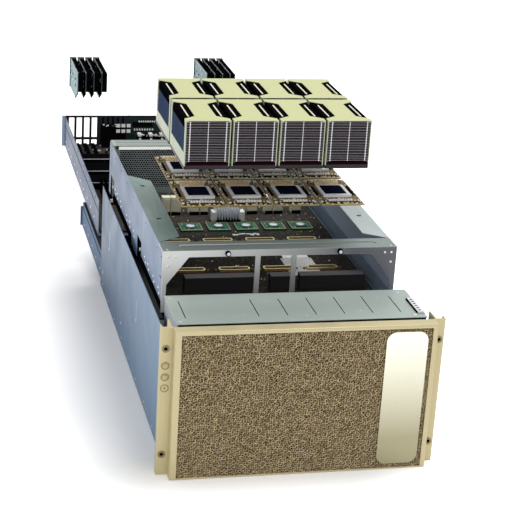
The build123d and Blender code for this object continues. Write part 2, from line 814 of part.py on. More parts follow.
# Heatsink shrouds: a folded cover with cornered notches in its top and a window in each side
for number, (x, y) in enumerate(gpu_places, 1):
    with BuildPart() as heatsink_shroud:
        out = gpu_width / 2
        inn = out - sink_sheet
        profile_across(
            [(x - out, fin_bottom), (x - inn, fin_bottom), (x - inn, sink_top - sink_sheet),
             (x + inn, sink_top - sink_sheet), (x + inn, fin_bottom), (x + out, fin_bottom),
             (x + out, sink_top), (x - out, sink_top)],
            y - gpu_depth / 2, y + gpu_depth / 2)
        for side in (-1, 1):
            x0, x1 = sorted((x + side * inn, x + side * (inn - sink_lip)))
            block(x0, x1, y - gpu_depth / 2, y - gpu_depth / 2 + sink_sheet, fin_bottom,
                  sink_top - sink_sheet)
            with BuildSketch(Plane.XY.offset(sink_top - sink_sheet)):
                with BuildLine():
                    Polyline((x + side * out, y - sink_notch_outer / 2),
                             (x + side * (out - sink_notch_depth), y - sink_notch_inner / 2),
                             (x + side * (out - sink_notch_depth), y + sink_notch_inner / 2),
                             (x + side * out, y + sink_notch_outer / 2), close=True)
                make_face()
            extrude(amount=sink_sheet, mode=Mode.SUBTRACT)
            window = gpu_depth / 2 - sink_window_margin
            window_bottom = sink_bottom + sink_window_bottom
            profile_along(
                [(y - window, window_bottom), (y + window, window_bottom),
                 (y + window, sink_top - sink_window_margin), (y + sink_notch_outer / 2, sink_top),
                 (y - sink_notch_outer / 2, sink_top), (y - window, sink_top - sink_window_margin)],
                x + side * inn, x + side * out, mode=Mode.SUBTRACT)
    save(heatsink_shroud.part, f"heatsink_shroud_{number}")

# Motherboard tray: an open pan, drawn out behind the chassis
host_back = rear + host_draw
host_front = host_back - host_length
with BuildPart() as motherboard_tray:
    profile_across(
        [(-host_half, host_floor), (host_half, host_floor), (host_half, host_top),
         (host_half - sheet, host_top), (host_half - sheet, host_floor + sheet),
         (-host_half + sheet, host_floor + sheet), (-host_half + sheet, host_top), (-host_half, host_top)],
        host_front, host_back - sheet)
save(motherboard_tray.part, "motherboard_tray")

# Rear input and output panel, with a tall slot and a low vent for each card
host_inner = host_half - sheet
card_left = -host_inner + card_left_gap + bracket_left
card_right = host_inner - card_right_gap - bracket_width + bracket_left - card_pitch * (card_count - 1)
card_xs = [start + card_pitch * i for start in (card_left, card_right) for i in range(card_count)]
slot_xs = [x - bracket_left + bracket_width / 2 for x in card_xs]
with BuildPart() as rear_io_panel:
    block(-host_panel_half, host_panel_half, host_back - sheet, host_back, host_floor, host_panel_top)
    for low, high in ((slot_bottom, slot_top), (vent_bottom, vent_top)):
        with BuildSketch(across(host_back - sheet)):
            with Locations(*[(x, (low + high) / 2) for x in slot_xs]):
                Rectangle(slot_width, high - low)
        extrude(amount=-sheet, mode=Mode.SUBTRACT)
    drill_across(knob_x, host_panel_top - knob_size / 2 - sheet, host_back, host_back + knob_length,
                 knob_size, mode=Mode.ADD)
save(rear_io_panel.part, "rear_io_panel")

# Motherboard: a board on standoffs with two cooled processors, memory, card sockets and ports
host_board_half = host_half - sheet - host_board_margin
host_floor_top = host_floor + sheet
host_board_under = host_floor_top + host_board_gap
host_board_top = host_board_under + board
host_y0 = host_front + host_board_start
host_y1 = host_back - host_board_end
card_y0 = host_back - card_end_gap - card_length
card_socket_top = host_board_top + card_socket_height
cpu_y0 = host_y0 + cpu_start
memory_x = cpu_places[1] + cpu_width / 2 + memory_gap + memory_pitch * memory_banks / 2
with BuildPart() as motherboard:
    block(-host_board_half, host_board_half, host_y0, host_y1, host_board_under, host_board_top)
    with BuildSketch(Plane.XY.offset(host_floor_top)):
        with Locations((0, (host_y0 + host_y1) / 2)):
            with GridLocations(host_board_half - standoff_inset,
                               (host_y1 - host_y0) / 2 - standoff_inset, 3, 3):
                Rectangle(standoff_size, standoff_size)
    extrude(amount=host_board_gap)
    for x in cpu_places:
        comb_across(x, cpu_width, cpu_fins, host_board_top, host_board_top + cpu_sink_floor,
                    host_board_top + cpu_height, cpu_y0, cpu_y0 + cpu_depth)
    with BuildSketch(Plane.XY.offset(host_board_top)):
        for x in (-memory_x, 0, memory_x):
            with Locations((x, cpu_y0 + cpu_depth / 2)):
                with GridLocations(memory_pitch, 1, memory_banks, 1):
                    Rectangle(memory_thick, cpu_depth + memory_overhang)
    extrude(amount=memory_height)
    with BuildSketch(Plane.XY.offset(host_board_top)):
        with Locations(*[(x, card_y0 + (card_nose_run + card_length) / 2) for x in card_xs]):
            Rectangle(card_socket_width, card_socket_length)
    extrude(amount=card_socket_height)
    for x0, x1, port_height in port_blocks:
        block(x0, x1, host_y1 - port_depth, host_y1, host_board_top, host_board_top + port_height)
save(motherboard.part, "motherboard")

# Network cards: four alike in each group, lifted over their slots
card_bottom = card_socket_top + seat_gap + card_lift
card_y1 = card_y0 + card_length
card_top = card_bottom + card_height
block_y0 = card_y0 + card_block_start
block_top = card_top - card_block_drop
for group, start in (("left", card_left), ("right", card_right)):
    with BuildPart() as network_cards:
        for i in range(card_count):
            x = start + card_pitch * i
            profile_along(
                [(card_y0, card_bottom + card_nose_rise), (card_y0 + card_nose_run, card_bottom),
                 (card_y1, card_bottom), (card_y1, card_top), (card_y0, card_top)],
                x - card_thick / 2, x + card_thick / 2)
            block(x + card_thick / 2, x + card_thick / 2 + card_block, block_y0,
                  block_y0 + card_block_length, block_top - card_block_height, block_top)
            block(x - bracket_left, x - bracket_left + bracket_width, card_y1, card_y1 + bracket_thick,
                  card_bottom, card_top + bracket_thick)
            block(x - bracket_left, x - bracket_left + bracket_width, card_y1 + bracket_thick,
                  card_y1 + bracket_lip, card_top, card_top + bracket_thick)
    save(network_cards.part, f"network_cards_{group}")

# Supply drawer: a low pan with a rear plate, and dark rails that the motherboard tray rides on
drawer_front = rear - drawer_overlap
drawer_back = drawer_front + drawer_length
drawer_floor_top = drawer_floor + sheet
rail_inner = host_half - drawer_rail_overlap
supply_pitch = 2 * (rail_inner - supply_margin) / supply_count
supply_width = supply_pitch - supply_gap
supply_xs = [supply_pitch * (i - (supply_count - 1) / 2) for i in range(supply_count)]
rail_top = host_floor - seat_gap
with BuildPart() as psu_drawer:
    profile_across(
        [(-drawer_half, drawer_floor), (drawer_half, drawer_floor), (drawer_half, drawer_top),
         (drawer_half - sheet, drawer_top), (drawer_half - sheet, drawer_floor_top),
         (-drawer_half + sheet, drawer_floor_top), (-drawer_half + sheet, drawer_top),
         (-drawer_half, drawer_top)],
        drawer_front, drawer_back - sheet)
    block(-half, half, drawer_back - sheet, drawer_back, drawer_floor,
          drawer_top + sheet)
    with BuildSketch(across(drawer_back - sheet)):
        with Locations(*[(x, drawer_floor_top + supply_height / 2) for x in supply_xs]):
            Rectangle(supply_width - 2 * supply_face_rim, supply_height - 2 * supply_face_rim)
    extrude(amount=-sheet, mode=Mode.SUBTRACT)
    for side in (-1, 1):
        outer = side * (drawer_half - sheet)
        inner = side * rail_inner
        block(min(outer, inner), max(outer, inner), drawer_front, drawer_back - sheet,
              drawer_rail_bottom, rail_top)
save(psu_drawer.part, "psu_drawer")

# Power supplies: six sheet casings open at the back
with BuildPart() as power_supplies:
    for x in supply_xs:
        y1 = drawer_back - sheet
        block(x - supply_width / 2, x + supply_width / 2, y1 - supply_length, y1,
              drawer_floor_top, drawer_floor_top + supply_height)
        block(x - supply_width / 2 + supply_wall, x + supply_width / 2 - supply_wall,
              y1 - supply_length + supply_wall, y1, drawer_floor_top + supply_wall,
              drawer_floor_top + supply_height - supply_wall, mode=Mode.SUBTRACT)
save(power_supplies.part, "power_supplies")
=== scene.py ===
"""The looks of an open AI server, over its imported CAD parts. Sizes are in millimetres up to the mesh."""
import math
import random
import bmesh
import bpy
from mathutils import Matrix, Vector
from mathutils.geometry import delaunay_2d_cdt


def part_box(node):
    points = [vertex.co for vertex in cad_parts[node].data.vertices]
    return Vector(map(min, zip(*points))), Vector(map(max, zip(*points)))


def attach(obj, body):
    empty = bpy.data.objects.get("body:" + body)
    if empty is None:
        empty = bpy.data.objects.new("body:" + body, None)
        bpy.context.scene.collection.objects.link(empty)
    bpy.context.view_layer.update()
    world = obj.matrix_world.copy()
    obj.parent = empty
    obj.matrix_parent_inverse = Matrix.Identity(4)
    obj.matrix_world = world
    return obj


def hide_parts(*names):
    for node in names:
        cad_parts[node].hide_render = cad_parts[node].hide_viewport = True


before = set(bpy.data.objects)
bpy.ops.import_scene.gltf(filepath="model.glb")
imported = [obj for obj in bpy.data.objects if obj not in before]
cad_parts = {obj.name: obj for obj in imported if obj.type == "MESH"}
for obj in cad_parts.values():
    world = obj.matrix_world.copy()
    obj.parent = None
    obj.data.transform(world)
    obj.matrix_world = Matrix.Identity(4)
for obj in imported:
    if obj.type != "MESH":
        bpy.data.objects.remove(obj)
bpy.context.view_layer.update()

MM = 0.001
SHARP = math.radians(35)


def corners(node):
    """A CAD node's lowest and highest corners, in millimetres."""
    low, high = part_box(node)
    return [c / MM for c in low], [c / MM for c in high]


# Camera and stage

CAMERA_PLACE = (-0.6434, -2.6653, 1.2222)
CAMERA_RIGHT = (0.974059, -0.218311, 0.059571)
CAMERA_UP = (0.020472, 0.347179, 0.937575)
CAMERA_BACK = (-0.225365, -0.912035, 0.342643)
LENS = 107.45
FLOOR_REACH = 30.0
FLOOR_DROP = 0.0005
FLOOR_COLOUR = 0.93
# Floor glow for seen rays: low near the machine and high far off, a painted shadow round the machine.
FLOOR_LIFT = (0.02, 0.75)
LIFT_REACH = (0.0, 0.27)
SHADE_HALF = (0.16, 0.42, 0.0)
SHADE_CENTRE = (-0.08, 0.05, 0.0)
SKY_LIGHT = 0.6
LAMP_WIDTH = 2.4


def place_camera():
    data = bpy.data.cameras.new("camera")
    data.lens = LENS
    data.sensor_width = 36.0
    data.clip_start = 0.05
    data.clip_end = 100.0
    camera = bpy.data.objects.new("camera", data)
    bpy.context.scene.collection.objects.link(camera)
    turn = Matrix((CAMERA_RIGHT, CAMERA_UP, CAMERA_BACK)).transposed()
    camera.matrix_world = Matrix.Translation(CAMERA_PLACE) @ turn.to_4x4()
    bpy.context.scene.camera = camera


def seen_ray(nodes, links):
    """1 for a ray from the camera, a mirror or glass, and 0 for the light's own rays."""
    path = nodes.new("ShaderNodeLightPath")
    total = path.outputs["Is Camera Ray"]
    for name in ("Is Glossy Ray", "Is Transmission Ray"):
        add = nodes.new("ShaderNodeMath")
        add.operation = "ADD"
        add.use_clamp = True
        links.new(total, add.inputs[0])
        links.new(path.outputs[name], add.inputs[1])
        total = add.outputs[0]
    return total


def ranged(nodes, links, source, limits, curve="LINEAR"):
    """Maps source to new limits: (least, most, new least, new most)."""
    node = nodes.new("ShaderNodeMapRange")
    node.interpolation_type = curve
    for key, value in zip(("From Min", "From Max", "To Min", "To Max"), limits):
        node.inputs[key].default_value = value
    links.new(source, node.inputs["Value"])
    return node.outputs["Result"]


def set_world():
    world = bpy.data.worlds.new("studio")
    world.use_nodes = True
    nodes, links = world.node_tree.nodes, world.node_tree.links
    plain = nodes["Background"]
    plain.inputs["Color"].default_value = (1, 1, 1, 1)
    plain.inputs["Strength"].default_value = SKY_LIGHT
    white = nodes.new("ShaderNodeBackground")
    white.inputs["Color"].default_value = (1, 1, 1, 1)
    mix = nodes.new("ShaderNodeMixShader")
    links.new(seen_ray(nodes, links), mix.inputs["Fac"])
    links.new(plain.outputs[0], mix.inputs[1])
    links.new(white.outputs[0], mix.inputs[2])
    links.new(mix.outputs[0], nodes["World Output"].inputs["Surface"])
    bpy.context.scene.world = world


def lamp(name, place, aim, width, power):
    data = bpy.data.lights.new(name, "AREA")
    data.shape = "DISK"
    data.size = width
    data.energy = power
    light = bpy.data.objects.new(name, data)
    light.location = place
    light.rotation_euler = (Vector(aim) - Vector(place)).to_track_quat("-Z", "Y").to_euler()
    bpy.context.scene.collection.objects.link(light)


def lay_floor():
    mesh = bpy.data.meshes.new("floor")
    mesh.from_pydata([(x * FLOOR_REACH, y * FLOOR_REACH, -FLOOR_DROP)
                      for x, y in ((-1, -1), (1, -1), (1, 1), (-1, 1))], [], [(0, 1, 2, 3)])
    floor = bpy.data.objects.new("floor", mesh)
    material = bpy.data.materials.new("floor_white")
    material.use_nodes = True
    nodes, links = material.node_tree.nodes, material.node_tree.links
    shader = nodes["Principled BSDF"]
    shader.inputs["Base Color"].default_value = (FLOOR_COLOUR, FLOOR_COLOUR, FLOOR_COLOUR, 1)
    shader.inputs["Roughness"].default_value = 0.9
    shader.inputs["Specular IOR Level"].default_value = 0.1
    # For seen rays the floor glows more with distance from a box round the machine, so it stays darker near
    # it: a painted shadow round its foot, white further off.
    glow = nodes.new("ShaderNodeEmission")
    place = nodes.new("ShaderNodeTexCoord")
    source = place.outputs["Object"]
    for operation, value in (("SUBTRACT", SHADE_CENTRE), ("ABSOLUTE", None), ("SUBTRACT", SHADE_HALF),
                             ("MAXIMUM", (0, 0, 0)), ("LENGTH", None)):
        away = nodes.new("ShaderNodeVectorMath")
        away.operation = operation
        links.new(source, away.inputs[0])
        if value:
            away.inputs[1].default_value = value
        source = away.outputs["Value" if operation == "LENGTH" else "Vector"]
    lift = ranged(nodes, links, source, LIFT_REACH + FLOOR_LIFT, "SMOOTHSTEP")
    scale = nodes.new("ShaderNodeMath")
    scale.operation = "MULTIPLY"
    links.new(lift, scale.inputs[1])
    links.new(seen_ray(nodes, links), scale.inputs[0])
    links.new(scale.outputs[0], glow.inputs["Strength"])
    add = nodes.new("ShaderNodeAddShader")
    links.new(shader.outputs[0], add.inputs[0])
    links.new(glow.outputs[0], add.inputs[1])
    links.new(add.outputs[0], nodes["Material Output"].inputs["Surface"])
    mesh.materials.append(material)
    bpy.context.scene.collection.objects.link(floor)


place_camera()
set_world()
lay_floor()
lamp("key", (1.3, 0.5, 3.9), (0, 0.1, 0.2), LAMP_WIDTH, 70)
lamp("fill", (-1.4, -3.4, 2.2), (0, -0.3, 0.2), LAMP_WIDTH, 29)
bpy.context.scene.view_settings.view_transform = "Standard"

# Materials


def linear(colour):
    """A colour written from 0 to 255, as the linear numbers that a shader takes."""
    return [((c / 255 + 0.055) / 1.055) ** 2.4 if c > 10 else c / 3294.6 for c in colour]


def scaled(colour, share):
    return (*[min(1.0, c * share) for c in colour], 1)


def surface(name, colour, rough, metal=0.0, mottle=0.1, patch=30, stretch=(1, 1, 1), bump=0.25, grain=0.8,
            worn=None, coat=0.0, fade=None, painted_top_shading=None, shine=0.5):
    """A finish with mottled colour, uneven roughness and a fine bump.

    worn is the colour of rubbed edges; faces turned up take the given top colour, painted light or shade on
    the top faces; fade is (axis, start, end, colour).
    """
    material = bpy.data.materials.new(name)
    material.use_nodes = True
    nodes, links = material.node_tree.nodes, material.node_tree.links
    shader = nodes["Principled BSDF"]
    shader.inputs["Metallic"].default_value = metal
    shader.inputs["Specular IOR Level"].default_value = shine
    shader.inputs["Coat Weight"].default_value = coat
    shader.inputs["Coat Roughness"].default_value = 0.15
    place = nodes.new("ShaderNodeTexCoord")
    mapping = nodes.new("ShaderNodeMapping")
    mapping.inputs["Scale"].default_value = stretch
    links.new(place.outputs["Object"], mapping.inputs["Vector"])

    def noise(size, detail):
        node = nodes.new("ShaderNodeTexNoise")
        node.inputs["Scale"].default_value = 1000 / size
        node.inputs["Detail"].default_value = detail
        links.new(mapping.outputs["Vector"], node.inputs["Vector"])
        return node.outputs["Fac"]

    def spread(source, low, high, start=0.3, end=0.7):
        return ranged(nodes, links, source, (start, end, low, high))

    def mixed(factor, first, second):
        node = nodes.new("ShaderNodeMix")
        node.data_type = "RGBA"
        links.new(factor, node.inputs["Factor"])
        for key, value in (("A", first), ("B", second)):
            socket = next(s for s in node.inputs if s.name == key and s.type == "RGBA")
            if isinstance(value, tuple):
                socket.default_value = value
            else:
                links.new(value, socket)
        return next(s for s in node.outputs if s.type == "RGBA")

    tone = linear(colour)
    broad, fine = noise(patch, 5), noise(grain, 3)
    base = mixed(spread(broad, 0, 1), scaled(tone, 1 - mottle), scaled(tone, 1 + mottle))
    if fade:
        axis, start, end, far = fade
        split = nodes.new("ShaderNodeSeparateXYZ")
        links.new(place.outputs["Object"], split.inputs[0])
        base = mixed(spread(split.outputs[axis], 0, 1, start * MM, end * MM), base, scaled(linear(far), 1))
    # Faces turned up take the top colour: painted light or shade on the top faces.
    if painted_top_shading:
        facing = nodes.new("ShaderNodeNewGeometry")
        split = nodes.new("ShaderNodeSeparateXYZ")
        links.new(facing.outputs["Normal"], split.inputs[0])
        base = mixed(spread(split.outputs["Z"], 0, 1, 0.6, 0.95), base, scaled(linear(painted_top_shading), 1))
    if worn:
        rounded = nodes.new("ShaderNodeBevel")
        rounded.samples = 4
        rounded.inputs["Radius"].default_value = 0.9 * MM
        flat = nodes.new("ShaderNodeNewGeometry")
        match = nodes.new("ShaderNodeVectorMath")
        match.operation = "DOT_PRODUCT"
        links.new(rounded.outputs["Normal"], match.inputs[0])
        links.new(flat.outputs["Normal"], match.inputs[1])
        edge = spread(match.outputs["Value"], 0.7, 0, 0.8, 0.995)
        base = mixed(edge, base, scaled(linear(worn), 1))
    links.new(base, shader.inputs["Base Color"])
    links.new(spread(broad, max(0.02, rough - 0.07), min(1.0, rough + 0.07)), shader.inputs["Roughness"])
    relief = nodes.new("ShaderNodeBump")
    relief.inputs["Strength"].default_value = bump
    relief.inputs["Distance"].default_value = 0.2 * MM
    links.new(fine, relief.inputs["Height"])
    links.new(relief.outputs["Normal"], shader.inputs["Normal"])
    return material


ALONG_X = (0.04, 1, 1)
ALONG_Y = (1, 0.04, 1)
ALONG_Z = (1, 1, 0.04)
tray_wall_x = corners("gpu_tray_side_right")[1][0]
steel_blue = surface("steel_blue", (108, 136, 165), 0.45, 0.25, 0.05, 60, worn=(176, 190, 206),
                     fade=("Y", -150, 420, (60, 86, 116)))
# Left tray wall: top faces are painted lighter, painted light; the blue darkens towards the rear.
tray_blue = surface("tray_blue", (96, 122, 156), 0.42, 0.15, 0.05, 60, worn=(170, 186, 204),
                    painted_top_shading=(122, 146, 140), fade=("Y", -100, 420, (64, 88, 122)))
# Right tray wall: the inner face is painted far lighter than the wall's blue, painted light where it stands
# in shade; across the wall's thickness the colour goes back to blue on the outer face, and top faces are
# painted lighter too.
painted_lit_slate = surface("painted_lit_slate", (172, 188, 208), 0.45, 0.0, 0.04, 60, painted_top_shading=(184, 194, 194),
                     fade=("X", tray_wall_x - 1.2, tray_wall_x - 0.3, (110, 134, 168)))
# Supply drawer: top faces are painted near black, painted shade in the gap under the motherboard tray.
drawer_blue = surface("drawer_blue", (84, 110, 140), 0.45, 0.2, 0.05, 60, worn=(170, 186, 204),
                      painted_top_shading=(12, 12, 14), shine=0.05)
host_blue = surface("host_blue", (62, 82, 114), 0.42, 0.15, 0.05, 60, worn=(176, 190, 208))
lid_grey = surface("lid_grey", (166, 178, 172), 0.42, 0.3, 0.06, 80, ALONG_X, worn=(205, 213, 208))
bay_steel = surface("bay_steel", (120, 128, 134), 0.4, 0.8, 0.06, 40, ALONG_Y)
# Tray front frame: near white at the left, fading to dark grey towards the right, a painted reflection; top
# faces take a fixed grey-green, painted light and shade.
bare_steel = surface("bare_steel", (232, 232, 232), 0.4, 0.4, 0.05, 60, ALONG_X, worn=(232, 232, 232),
                     fade=("X", -170, 130, (94, 96, 102)), painted_top_shading=(130, 142, 138))
panel_dark = surface("panel_dark", (52, 54, 58), 0.4, 0.2, 0.1, 40, ALONG_X, shine=0.05,
                     fade=("X", -211, -213, (168, 184, 208)))
gold = surface("gold", (200, 188, 147), 0.45, 0.3, 0.03, 50, worn=(232, 224, 190))
foam_gold = surface("foam_gold", (174, 157, 122), 0.45, 0.5, 0.3, 3)
# Foam back: near black, painted shade deep in the foam.
foam_painted_shade = surface("foam_painted_shade", (14, 12, 9), 0.8, 0.0, 0.4, 4, shine=0.0)
# Name plate: the colour brightens to near white towards the top, a painted reflection.
plate_gold = surface("plate_gold", (158, 152, 122), 0.32, 0.6, 0.03, 60, ALONG_Z, 0.12, 0.5,
                     fade=("Z", 60, 235, (240, 238, 220)))
ring_gold = surface("ring_gold", (128, 118, 88), 0.35, 0.8, 0.05)
black = surface("black", (14, 14, 16), 0.5, 0.0, 0.2, 10, shine=0.0)
# Air guides: top faces are painted lighter grey, painted light.
guide_black = surface("guide_black", (42, 41, 43), 0.42, 0.0, 0.2, 20, ALONG_X, worn=(96, 96, 100),
                      painted_top_shading=(92, 90, 92), shine=0.1)
# GPU tray base: near black, painted shade under the tray walls, turning slate blue past x 186 where the base
# shows.
painted_shade_black = surface("painted_shade_black", (16, 16, 20), 0.42, 0.0, 0.2, 40, ALONG_X, shine=0.0,
                      fade=("X", 186, 191, (128, 142, 160)))
fan_black = surface("fan_black", (28, 29, 31), 0.5, 0.0, 0.15, 10, shine=0.2)
drive_grey = surface("drive_grey", (112, 116, 122), 0.4, 0.7, 0.08, 30, ALONG_Z)
key_gold = surface("key_gold", (186, 174, 136), 0.4, 0.2, 0.04, 5)
lens_olive = surface("lens_olive", (150, 150, 104), 0.2, 0.0, 0.04, 3, coat=0.5)
board_dark = surface("board_dark", (72, 69, 65), 0.45, 0.0, 0.4, 9, bump=0.4, shine=0.0)
board_green = surface("board_green", (24, 92, 70), 0.4, 0.0, 0.2, 7, bump=0.4, shine=0.2)
board_olive = surface("board_olive", (124, 108, 72), 0.45, 0.0, 0.45, 4, bump=0.5, shine=0.1)
# Gold contacts: top faces are painted paler, painted light.
contact_gold = surface("contact_gold", (206, 184, 116), 0.34, 0.6, 0.08, 6, painted_top_shading=(240, 230, 170))
copper = surface("copper", (196, 128, 88), 0.35, 0.6, 0.1, 5)
silver = surface("silver", (226, 228, 232), 0.32, 0.6, 0.05, 12)
satin = surface("satin", (244, 244, 248), 0.4, 0.1, 0.05, 8)
die_navy = surface("die_navy", (24, 27, 46), 0.35, 0.0, 0.2, 14, bump=0.05, shine=0.0)
cream = surface("cream", (248, 244, 216), 0.5, 0.0, 0.05, 9)
tan = surface("tan", (250, 214, 150), 0.45, 0.0, 0.12, 4)
chalk = surface("chalk", (252, 252, 248), 0.5, 0.0, 0.04, 6)
chip_black = surface("chip_black", (12, 12, 14), 0.45, 0.0, 0.2, 5, shine=0.0)
fin_dark = surface("fin_dark", (34, 30, 34), 0.4, 0.2, 0.12, 20, ALONG_X, shine=0.0)
fin_edge = surface("fin_edge", (142, 134, 140), 0.34, 0.5, 0.12, 12, ALONG_X)
maroon = surface("maroon", (30, 10, 14), 0.5, 0.0, 0.25, 10, ALONG_X, shine=0.0)
sink_grey = surface("sink_grey", (52, 49, 52), 0.4, 0.3, 0.12, 16, ALONG_X, shine=0.1)
# Shrouds: top faces are painted paler, painted light.
shroud_gold = surface("shroud_gold", (182, 190, 162), 0.42, 0.2, 0.03, 40, worn=(228, 230, 204),
                      painted_top_shading=(202, 204, 146))
window_blue = surface("window_blue", (66, 78, 106), 0.5, 0.0, 0.1, 25, shine=0.0)
card_teal = surface("card_teal", (112, 154, 160), 0.45, 0.1, 0.25, 8, bump=0.5)
# Near black: the cards' coolers and small parts, and painted shade on the boards behind the first card.
cooler_dark_and_card_shade = surface("cooler_dark_and_card_shade", (5, 9, 9), 0.5, 0.0, 0.3, 8, shine=0.0)
bracket_grey = surface("bracket_grey", (84, 90, 94), 0.42, 0.4, 0.1, 10)
supply_steel = surface("supply_steel", (128, 132, 138), 0.38, 0.8, 0.08, 30, ALONG_Y)
supply_front = corners("power_supplies")[0][1]
supply_case = surface("supply_case", (14, 14, 16), 0.5, 0.1, 0.08, 30, ALONG_Y, shine=0.05,
                      fade=("Y", supply_front + 1, supply_front + 3, (128, 132, 138)))
sheet_pale = surface("sheet_pale", (176, 186, 184), 0.45, 0.1, 0.06, 20)
# Switch fins: top faces are painted dark grey, painted shade.
fin_bright = surface("fin_bright", (240, 242, 246), 0.4, 0.2, 0.05, 12, painted_top_shading=(104, 106, 108))
panel_green = surface("panel_green", (34, 54, 52), 0.5, 0.0, 0.3, 8, shine=0.1)

# Meshes


class Solids:
    """Straight and round solids, each with a material's number, gathered into one mesh."""

    def __init__(self):
        self.points, self.faces, self.slots = [], [], []

    def face(self, indices, slot):
        self.faces.append(indices)
        self.slots.append(slot)

    def loft(self, rings, slot=0):
        """Skins rings of points and caps both ends."""
        start, count = len(self.points), len(rings[0])
        for ring in rings:
            self.points += ring
        for level in range(len(rings) - 1):
            for i in range(count):
                a, b = start + level * count + i, start + level * count + (i + 1) % count
                self.face((a, b, b + count, a + count), slot)
        last = start + (len(rings) - 1) * count
        self.face(tuple(range(start, start + count)), slot)
        self.face(tuple(range(last, last + count)), slot)

    def prism(self, outline, axis, low, high, slot=0):
        """An outline in the other two axes, run along axis from low to high."""
        self.loft([[upright(axis, p, q, end) for p, q in outline] for end in (low, high)], slot)

    def box(self, x0, x1, y0, y1, z0, z1, slot=0):
        self.prism([(x0, y0), (x1, y0), (x1, y1), (x0, y1)], "z", z0, z1, slot)

    def turned(self, axis, p, q, steps, slot=0, sides=16):
        """A turned solid: steps are (place along axis, radius)."""
        self.loft([[upright(axis, p + radius * math.cos(i * math.tau / sides),
                            q + radius * math.sin(i * math.tau / sides), place) for i in range(sides)]
                   for place, radius in steps], slot)

    def stud(self, axis, p, q, base, radius, rise, slot=0):
        """A domed rivet or screw head; a negative rise points down the axis."""
        self.turned(axis, p, q, [(base, radius), (base + 0.55 * rise, 0.9 * radius),
                                 (base + rise, 0.45 * radius)], slot, 10)

    def screw(self, axis, p, q, base, radius, rise, slot=0, dark=1):
        """A round head with a dark socket sunk in it."""
        self.turned(axis, p, q, [(base, radius), (base + 0.7 * rise, radius), (base + rise, 0.8 * radius)],
                    slot, 14)
        self.turned(axis, p, q, [(base + 0.9 * rise, 0.38 * radius), (base + 1.06 * rise, 0.38 * radius)],
                    dark, 6)


def upright(axis, p, q, r):
    """A point with r along axis, and p and q along the other two in order."""
    return {"x": (r, p, q), "y": (p, r, q), "z": (p, q, r)}[axis]


def ordered(a, b):
    return min(a, b), max(a, b)


def mesh_of(solids, name, materials, outward=True):
    mesh = bpy.data.meshes.new(name)
    mesh.from_pydata([[c * MM for c in point] for point in solids.points], [], solids.faces)
    mesh.polygons.foreach_set("material_index", solids.slots)
    for material in materials:
        mesh.materials.append(material)
    if outward:
        work = bmesh.new()
        work.from_mesh(mesh)
        bmesh.ops.recalc_face_normals(work, faces=work.faces)
        work.to_mesh(mesh)
        work.free()
    mesh.shade_smooth()
    mesh.set_sharp_from_angle(angle=SHARP)
    return mesh


def soften(obj, width):
    """Rounds an object's edges by that many millimetres."""
    bevel = obj.modifiers.new("edges", "BEVEL")
    bevel.width = width * MM
    bevel.segments = 2
    bevel.limit_method = "ANGLE"
    bevel.angle_limit = SHARP
    bevel.harden_normals = True


def add_piece(mesh, name, body, replaces=(), edge=0.0, place=(0, 0, 0)):
    obj = bpy.data.objects.new(name, mesh)
    bpy.context.scene.collection.objects.link(obj)
    obj.location = [c * MM for c in place]
    if edge:
        soften(obj, edge)
    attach(obj, body)
    if replaces:
        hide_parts(*replaces)


def add_solids(solids, materials, name, body, replaces=(), edge=0.0):
    add_piece(mesh_of(solids, name, materials), name, body, replaces, edge)


def scatter(solids, rng, count, area, base, sizes, slots, keep_off=()):
    """Small parts on a board, clear of the areas in keep_off.

    area is (x0, x1, y0, y1), sizes (least, most, tallest) and slots the materials to draw from.
    """
    for _ in range(count):
        wide, deep = rng.uniform(*sizes[:2]), rng.uniform(*sizes[:2])
        tall = rng.uniform(0.3, 1.0) * sizes[2]
        x, y = rng.uniform(area[0], area[1] - wide), rng.uniform(area[2], area[3] - deep)
        slot = rng.choice(slots)
        if all(x + wide < k[0] or x > k[1] or y + deep < k[2] or y > k[3] for k in keep_off):
            solids.box(x, x + wide, y, y + deep, base, base + tall, slot)


# CAD nodes that keep their own shape

node_looks = {
    "chassis_shell": (steel_blue, 0.4), "fan_bay_frame": (bay_steel, 0.3), "front_lid": (lid_grey, 0.3),
    "fan_wall": (fan_black, 0.4), "drive_caddies": (drive_grey, 0.5), "rack_ear_left": (gold, 0.0),
    "rack_ear_right": (gold, 0.0), "ear_bushes": (ring_gold, 0.3), "status_led": (lens_olive, 0.2),
    "bezel_frame": (gold, 0.5), "name_plate": (plate_gold, 0.5), "power_button": (key_gold, 0.0),
    "id_button": (key_gold, 0.0), "gpu_tray_base": (painted_shade_black, 0.3), "gpu_tray_side_left": (tray_blue, 0.4),
    "gpu_tray_side_right": (painted_lit_slate, 0.4), "tray_front_frame": (bare_steel, 0.4),
    "gpu_baseboard": (board_dark, 0.2), "switch_boards": (board_green, 0.3),
    "air_guides": (guide_black, 0.8), "motherboard_tray": (host_blue, 0.4),
    "rear_io_panel": (panel_dark, 0.3), "psu_drawer": (drawer_blue, 0.4),
    "power_supplies": (supply_case, 0.3),
    **{f"fan_rotor_{i}": (fan_black, 0.3) for i in range(1, 5)},
    **{f"heatsink_shroud_{i}": (shroud_gold, 0.3) for i in range(1, 9)},
}
for node, (material, edge) in node_looks.items():
    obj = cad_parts[node]
    obj.data.materials.clear()
    obj.data.materials.append(material)
    if edge:
        weld = obj.modifiers.new("weld", "WELD")
        weld.merge_threshold = 0.01 * MM
        soften(obj, edge)

# Bezel: open-cell foam, as two nets of struts before a near-black back, painted shade deep in the foam

foam_low, foam_high = corners("bezel_foam")
FOAM_CELL = 3.8
FOAM_JITTER = 0.36
foam_slots = {"strut": 0, "back": 1}


